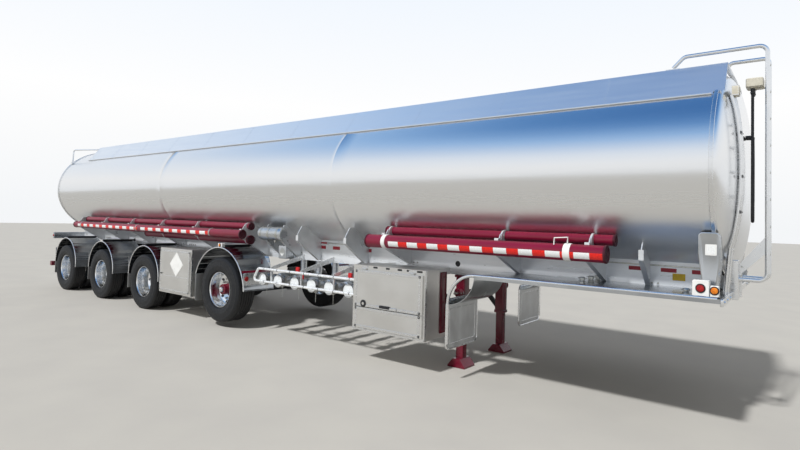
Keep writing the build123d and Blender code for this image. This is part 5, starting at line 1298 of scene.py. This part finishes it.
rim = [(0.2857, 0.2765), (0.2857, 0.0665), (0.279, 0.0665), (0.27, 0.075), (0.264, 0.052), (0.2575, 0.052),
       (0.26, 0.066), (0.2625, 0.09), (0.264, 0.12), (0.2655, 0.19), (0.2705, 0.21), (0.272, 0.25),
       (0.2755, 0.268), (0.28, 0.2765)]
one_wheel = [turned(rim, count=96), pierced(0.12, 0.2612, 0.2265, 0.0265, 10, twin_depth, 0.0125)]
other = [(verts * (1, -1, 1), faces) for verts, faces in one_wheel]
nut_shape = [(0, 0), (0.021, 0), (0.021, 0.006), (0.0175, 0.007), (0.0175, 0.028), (0.0145, 0.034),
             (0.011, 0.034), (0.011, 0.046), (0.009, 0.048), (0, 0.048)]
nuts = [copies(turned(nut_shape, count=6), [(dx, 0.0138, dz) for dx, dz in around(0.1675, 10)])]
hub_shape = [(0.0455, -0.15), (0.09, -0.15), (0.1, -0.11), (0.135, -0.03), (0.14, -0.014), (0.14, -0.0127),
             (0.119, -0.012), (0.119, 0.016), (0.112, 0.02), (0.1, 0.026), (0.094, 0.05), (0.0455, 0.05)]
cap_shape = [(0, 0.05), (0.09, 0.05), (0.09, 0.088), (0.094, 0.09), (0.094, 0.1), (0.086, 0.106),
             (0.05, 0.1095), (0, 0.11)]
cap = [turned(cap_shape, count=60),
       hexes([(dx, 0.106, dz) for dx, dz in around(0.078, 6)], 0.006, 0.004, "Y")]
drum_shape = [(0.141, -0.03), (0.2, -0.055), (0.21, -0.062), (0.21, -0.1), (0.206, -0.105), (0.206, -0.225),
              (0.21, -0.23), (0.21, -0.25), (0.192, -0.25), (0.192, -0.075), (0.141, -0.045)]
twin_pieces = (("wheel_pair", one_wheel + other, forged, "wheel_aluminium"),
               ("wheel_nuts", nuts, zinc, "bright_steel"),
               ("hub", [turned(hub_shape, count=72)], cast, "wheel_aluminium"),
               ("hub_cap", cap, bright, "wheel_aluminium"),
               ("brake_drum", [turned(drum_shape, count=72)], iron, "black_steel"))
for axle, x in enumerate(axles, 1):
    for side, label in sides:
        for name, parts, material, slot in twin_pieces:
            piece(f"{name}_{axle}_{label}", [stand(parts, x, side * twin_y, wheel_z, side)], material,
                  f"wheel_set_{axle}_{label}", [f"wheels_{axle}_{label}"])
rim = [(0.2857, 0.149), (0.2857, -0.149), (0.28, -0.149), (0.272, -0.13), (0.266, -0.1), (0.264, -0.045),
       (0.2575, -0.03), (0.26, -0.012), (0.264, 0.03), (0.266, 0.09), (0.271, 0.11), (0.2725, 0.13),
       (0.276, 0.142), (0.28, 0.149)]
single = [turned(rim, count=96), pierced(0.12, 0.2605, 0.2265, 0.0265, 10, single_depth, 0.0125)]
single_nuts = [(verts + (0, -0.059, 0), faces) for verts, faces in nuts]
hub_shape = [(0.0455, -0.165), (0.12, -0.165), (0.12, -0.058), (0.119, -0.043), (0.108, -0.038),
             (0.092, -0.01), (0.086, 0.01), (0.085, 0.09), (0.082, 0.1), (0.05, 0.102), (0.0455, 0.1)]
cap_shape = [(0, 0.1), (0.038, 0.1), (0.042, 0.104), (0.042, 0.125), (0.036, 0.134),
             (0.02, 0.139), (0, 0.141)]
single_pieces = (("wheel", single, forged, "wheel_aluminium"), ("nuts", single_nuts, zinc, "bright_steel"),
                 ("hub", [turned(hub_shape, count=72)], maroon, "maroon_paint"),
                 ("cap", [turned(cap_shape, count=48)], bright, "wheel_aluminium"))
for side, label in sides:
    for name, parts, material, slot in single_pieces:
        piece(f"single_{name}_{label}", [stand(parts, steer_x, side * steer_y, steer_z, side)],
              material, f"steer_wheel_{label}", [f"steer_wheel_{label}"])


# Tyres
# Moulded black rubber: plain side walls with raised rings, a bead at the rim,
# four or five grooves round the tread and notched shoulders.

# Tyre rubber: charcoal, matt, a little greyer where it is scuffed.
tyre_rubber = worn("tyre_rubber", "#131416", "#202123", 0.0, 0.5, 0.8, (0.03, 0.03, 0.03), 0.0003)


def tyre(radius, wide, rim, x, y, z, grooves=4, deep=0.012, groove=0.011, lugs=60):
    """A tyre about its middle: the section from bead to bead turned round Y, its shoulder points pressed in
    by 7 mm in one of every three columns so that lugs stand between them."""
    half = wide / 2
    wall = [(rim, 0.72), (rim + 0.008, 0.80), (rim + 0.02, 0.82), (rim + 0.026, 0.9), (rim + 0.055, 0.965),
            (rim + 0.1, 0.995), (rim + 0.103, 1.0), (rim + 0.108, 1.0), (rim + 0.111, 0.995),
            (rim + 0.13, 0.995), (radius - 0.075, 0.965), (radius - 0.055, 0.945), (radius - 0.05, 0.955)]
    shoulder = [(radius - 0.036, 0.925), (radius - 0.016, 0.87), (radius - 0.005, 0.81),
                (radius - 0.001, 0.775)]
    tread = []
    for middle in np.linspace(-0.74 * half, 0.74 * half, grooves + 2)[1:-1]:
        tread += [(radius, middle - groove / 2), (radius - deep, middle - groove / 2 + 0.003),
                  (radius - deep, middle + groove / 2 - 0.003), (radius, middle + groove / 2)]
    side = wall + shoulder
    profile = np.array([(r, -k * half) for r, k in side] + tread + [(r, k * half) for r, k in reversed(side)])
    first = len(wall)
    pressed = np.zeros(len(profile))
    pressed[first:first + len(shoulder)] = pressed[-first - len(shoulder):-first] = 0.007
    t = np.linspace(0, 2 * pi, 3 * lugs, endpoint=False)
    r = profile[None, :, 0] - pressed[None, :] * (np.arange(3 * lugs) % 3 == 0)[:, None]
    points = np.stack([x + r * np.cos(t)[:, None], y + np.broadcast_to(profile[:, 1], r.shape),
                       z + r * np.sin(t)[:, None]], -1)
    return grid(points, True, True)


for axle, x in enumerate(axles, 1):
    for side, label in sides:
        parts = [tyre(wheel_z, 0.279, 0.286, x, side * twin_y + out * 0.1715, wheel_z) for out in (-1, 1)]
        piece(f"twin_tyres_{axle}_{label}", parts, tyre_rubber, f"wheel_set_{axle}_{label}",
              [f"tyres_{axle}_{label}"])
for side, label in sides:
    parts = [tyre(0.53, 0.36, 0.286, steer_x, side * steer_y, steer_z, 5)]
    piece(f"wide_tyre_{label}", parts, tyre_rubber, f"steer_wheel_{label}",
          [f"steer_tyre_{label}"])


# Rear bumper, light bar and lamps
# A maroon box bar on two legs from the rails, a bright light bar above it with
# the tail lamps, and a red side lamp at each end.
leg_shape = [(-7.264, 0.482), (-7.264, 0.588), (-6.85, rail_foot), (-7.05, rail_foot), (-7.362, 0.588),
             (-7.362, 0.482)]
parts = [block((-7.364, -1.2, 0.48), (-7.264, 1.2, 0.59), "Y", 0.014, 0.005, 4)]
parts += [slab(leg_shape, y - 0.04, y + 0.04, "Y", 0.004) for y in (-0.53, 0.53)]
piece("maroon_bumper", parts, maroon, replaces=["rear_bumper"])
parts = [block((-7.1083, -1.25, 1.156), (-7.0503, 1.25, 1.306), "Y", 0.014, 0.005, 4)]
piece("light_bar", parts, deck_metal, replaces=["rear_bumper"])
light_z = 1.231
side_lamp = turned([(r, -d) for r, d in lens(0.024, 0.015)], (-7.0793, -1.2502, light_z), "Y", 32)
piece("side_lamps", mirrored([side_lamp]), red_lens)
tail_shape = [(r * 0.92, -d) for r, d in lens(0.052, 0.0235)]
seat_shape = [(0.047, 0), (0.0525, 0), (0.0525, -0.012), (0.049, -0.015), (0.047, -0.015)]
lamp_places = (-1.14, -1.01, -0.88, 0.88, 1.01, 1.14)
lamps = [turned(tail_shape, (-7.1086, y, light_z), "X", 40) for y in lamp_places]
seats = [turned(seat_shape, (-7.1084, y, light_z), "X", 40) for y in lamp_places]
piece("tail_lamps", lamps, red_lens, replaces=["rear_lamps"])
piece("tail_lamp_rings", seats, rubber, replaces=["rear_lamps"])
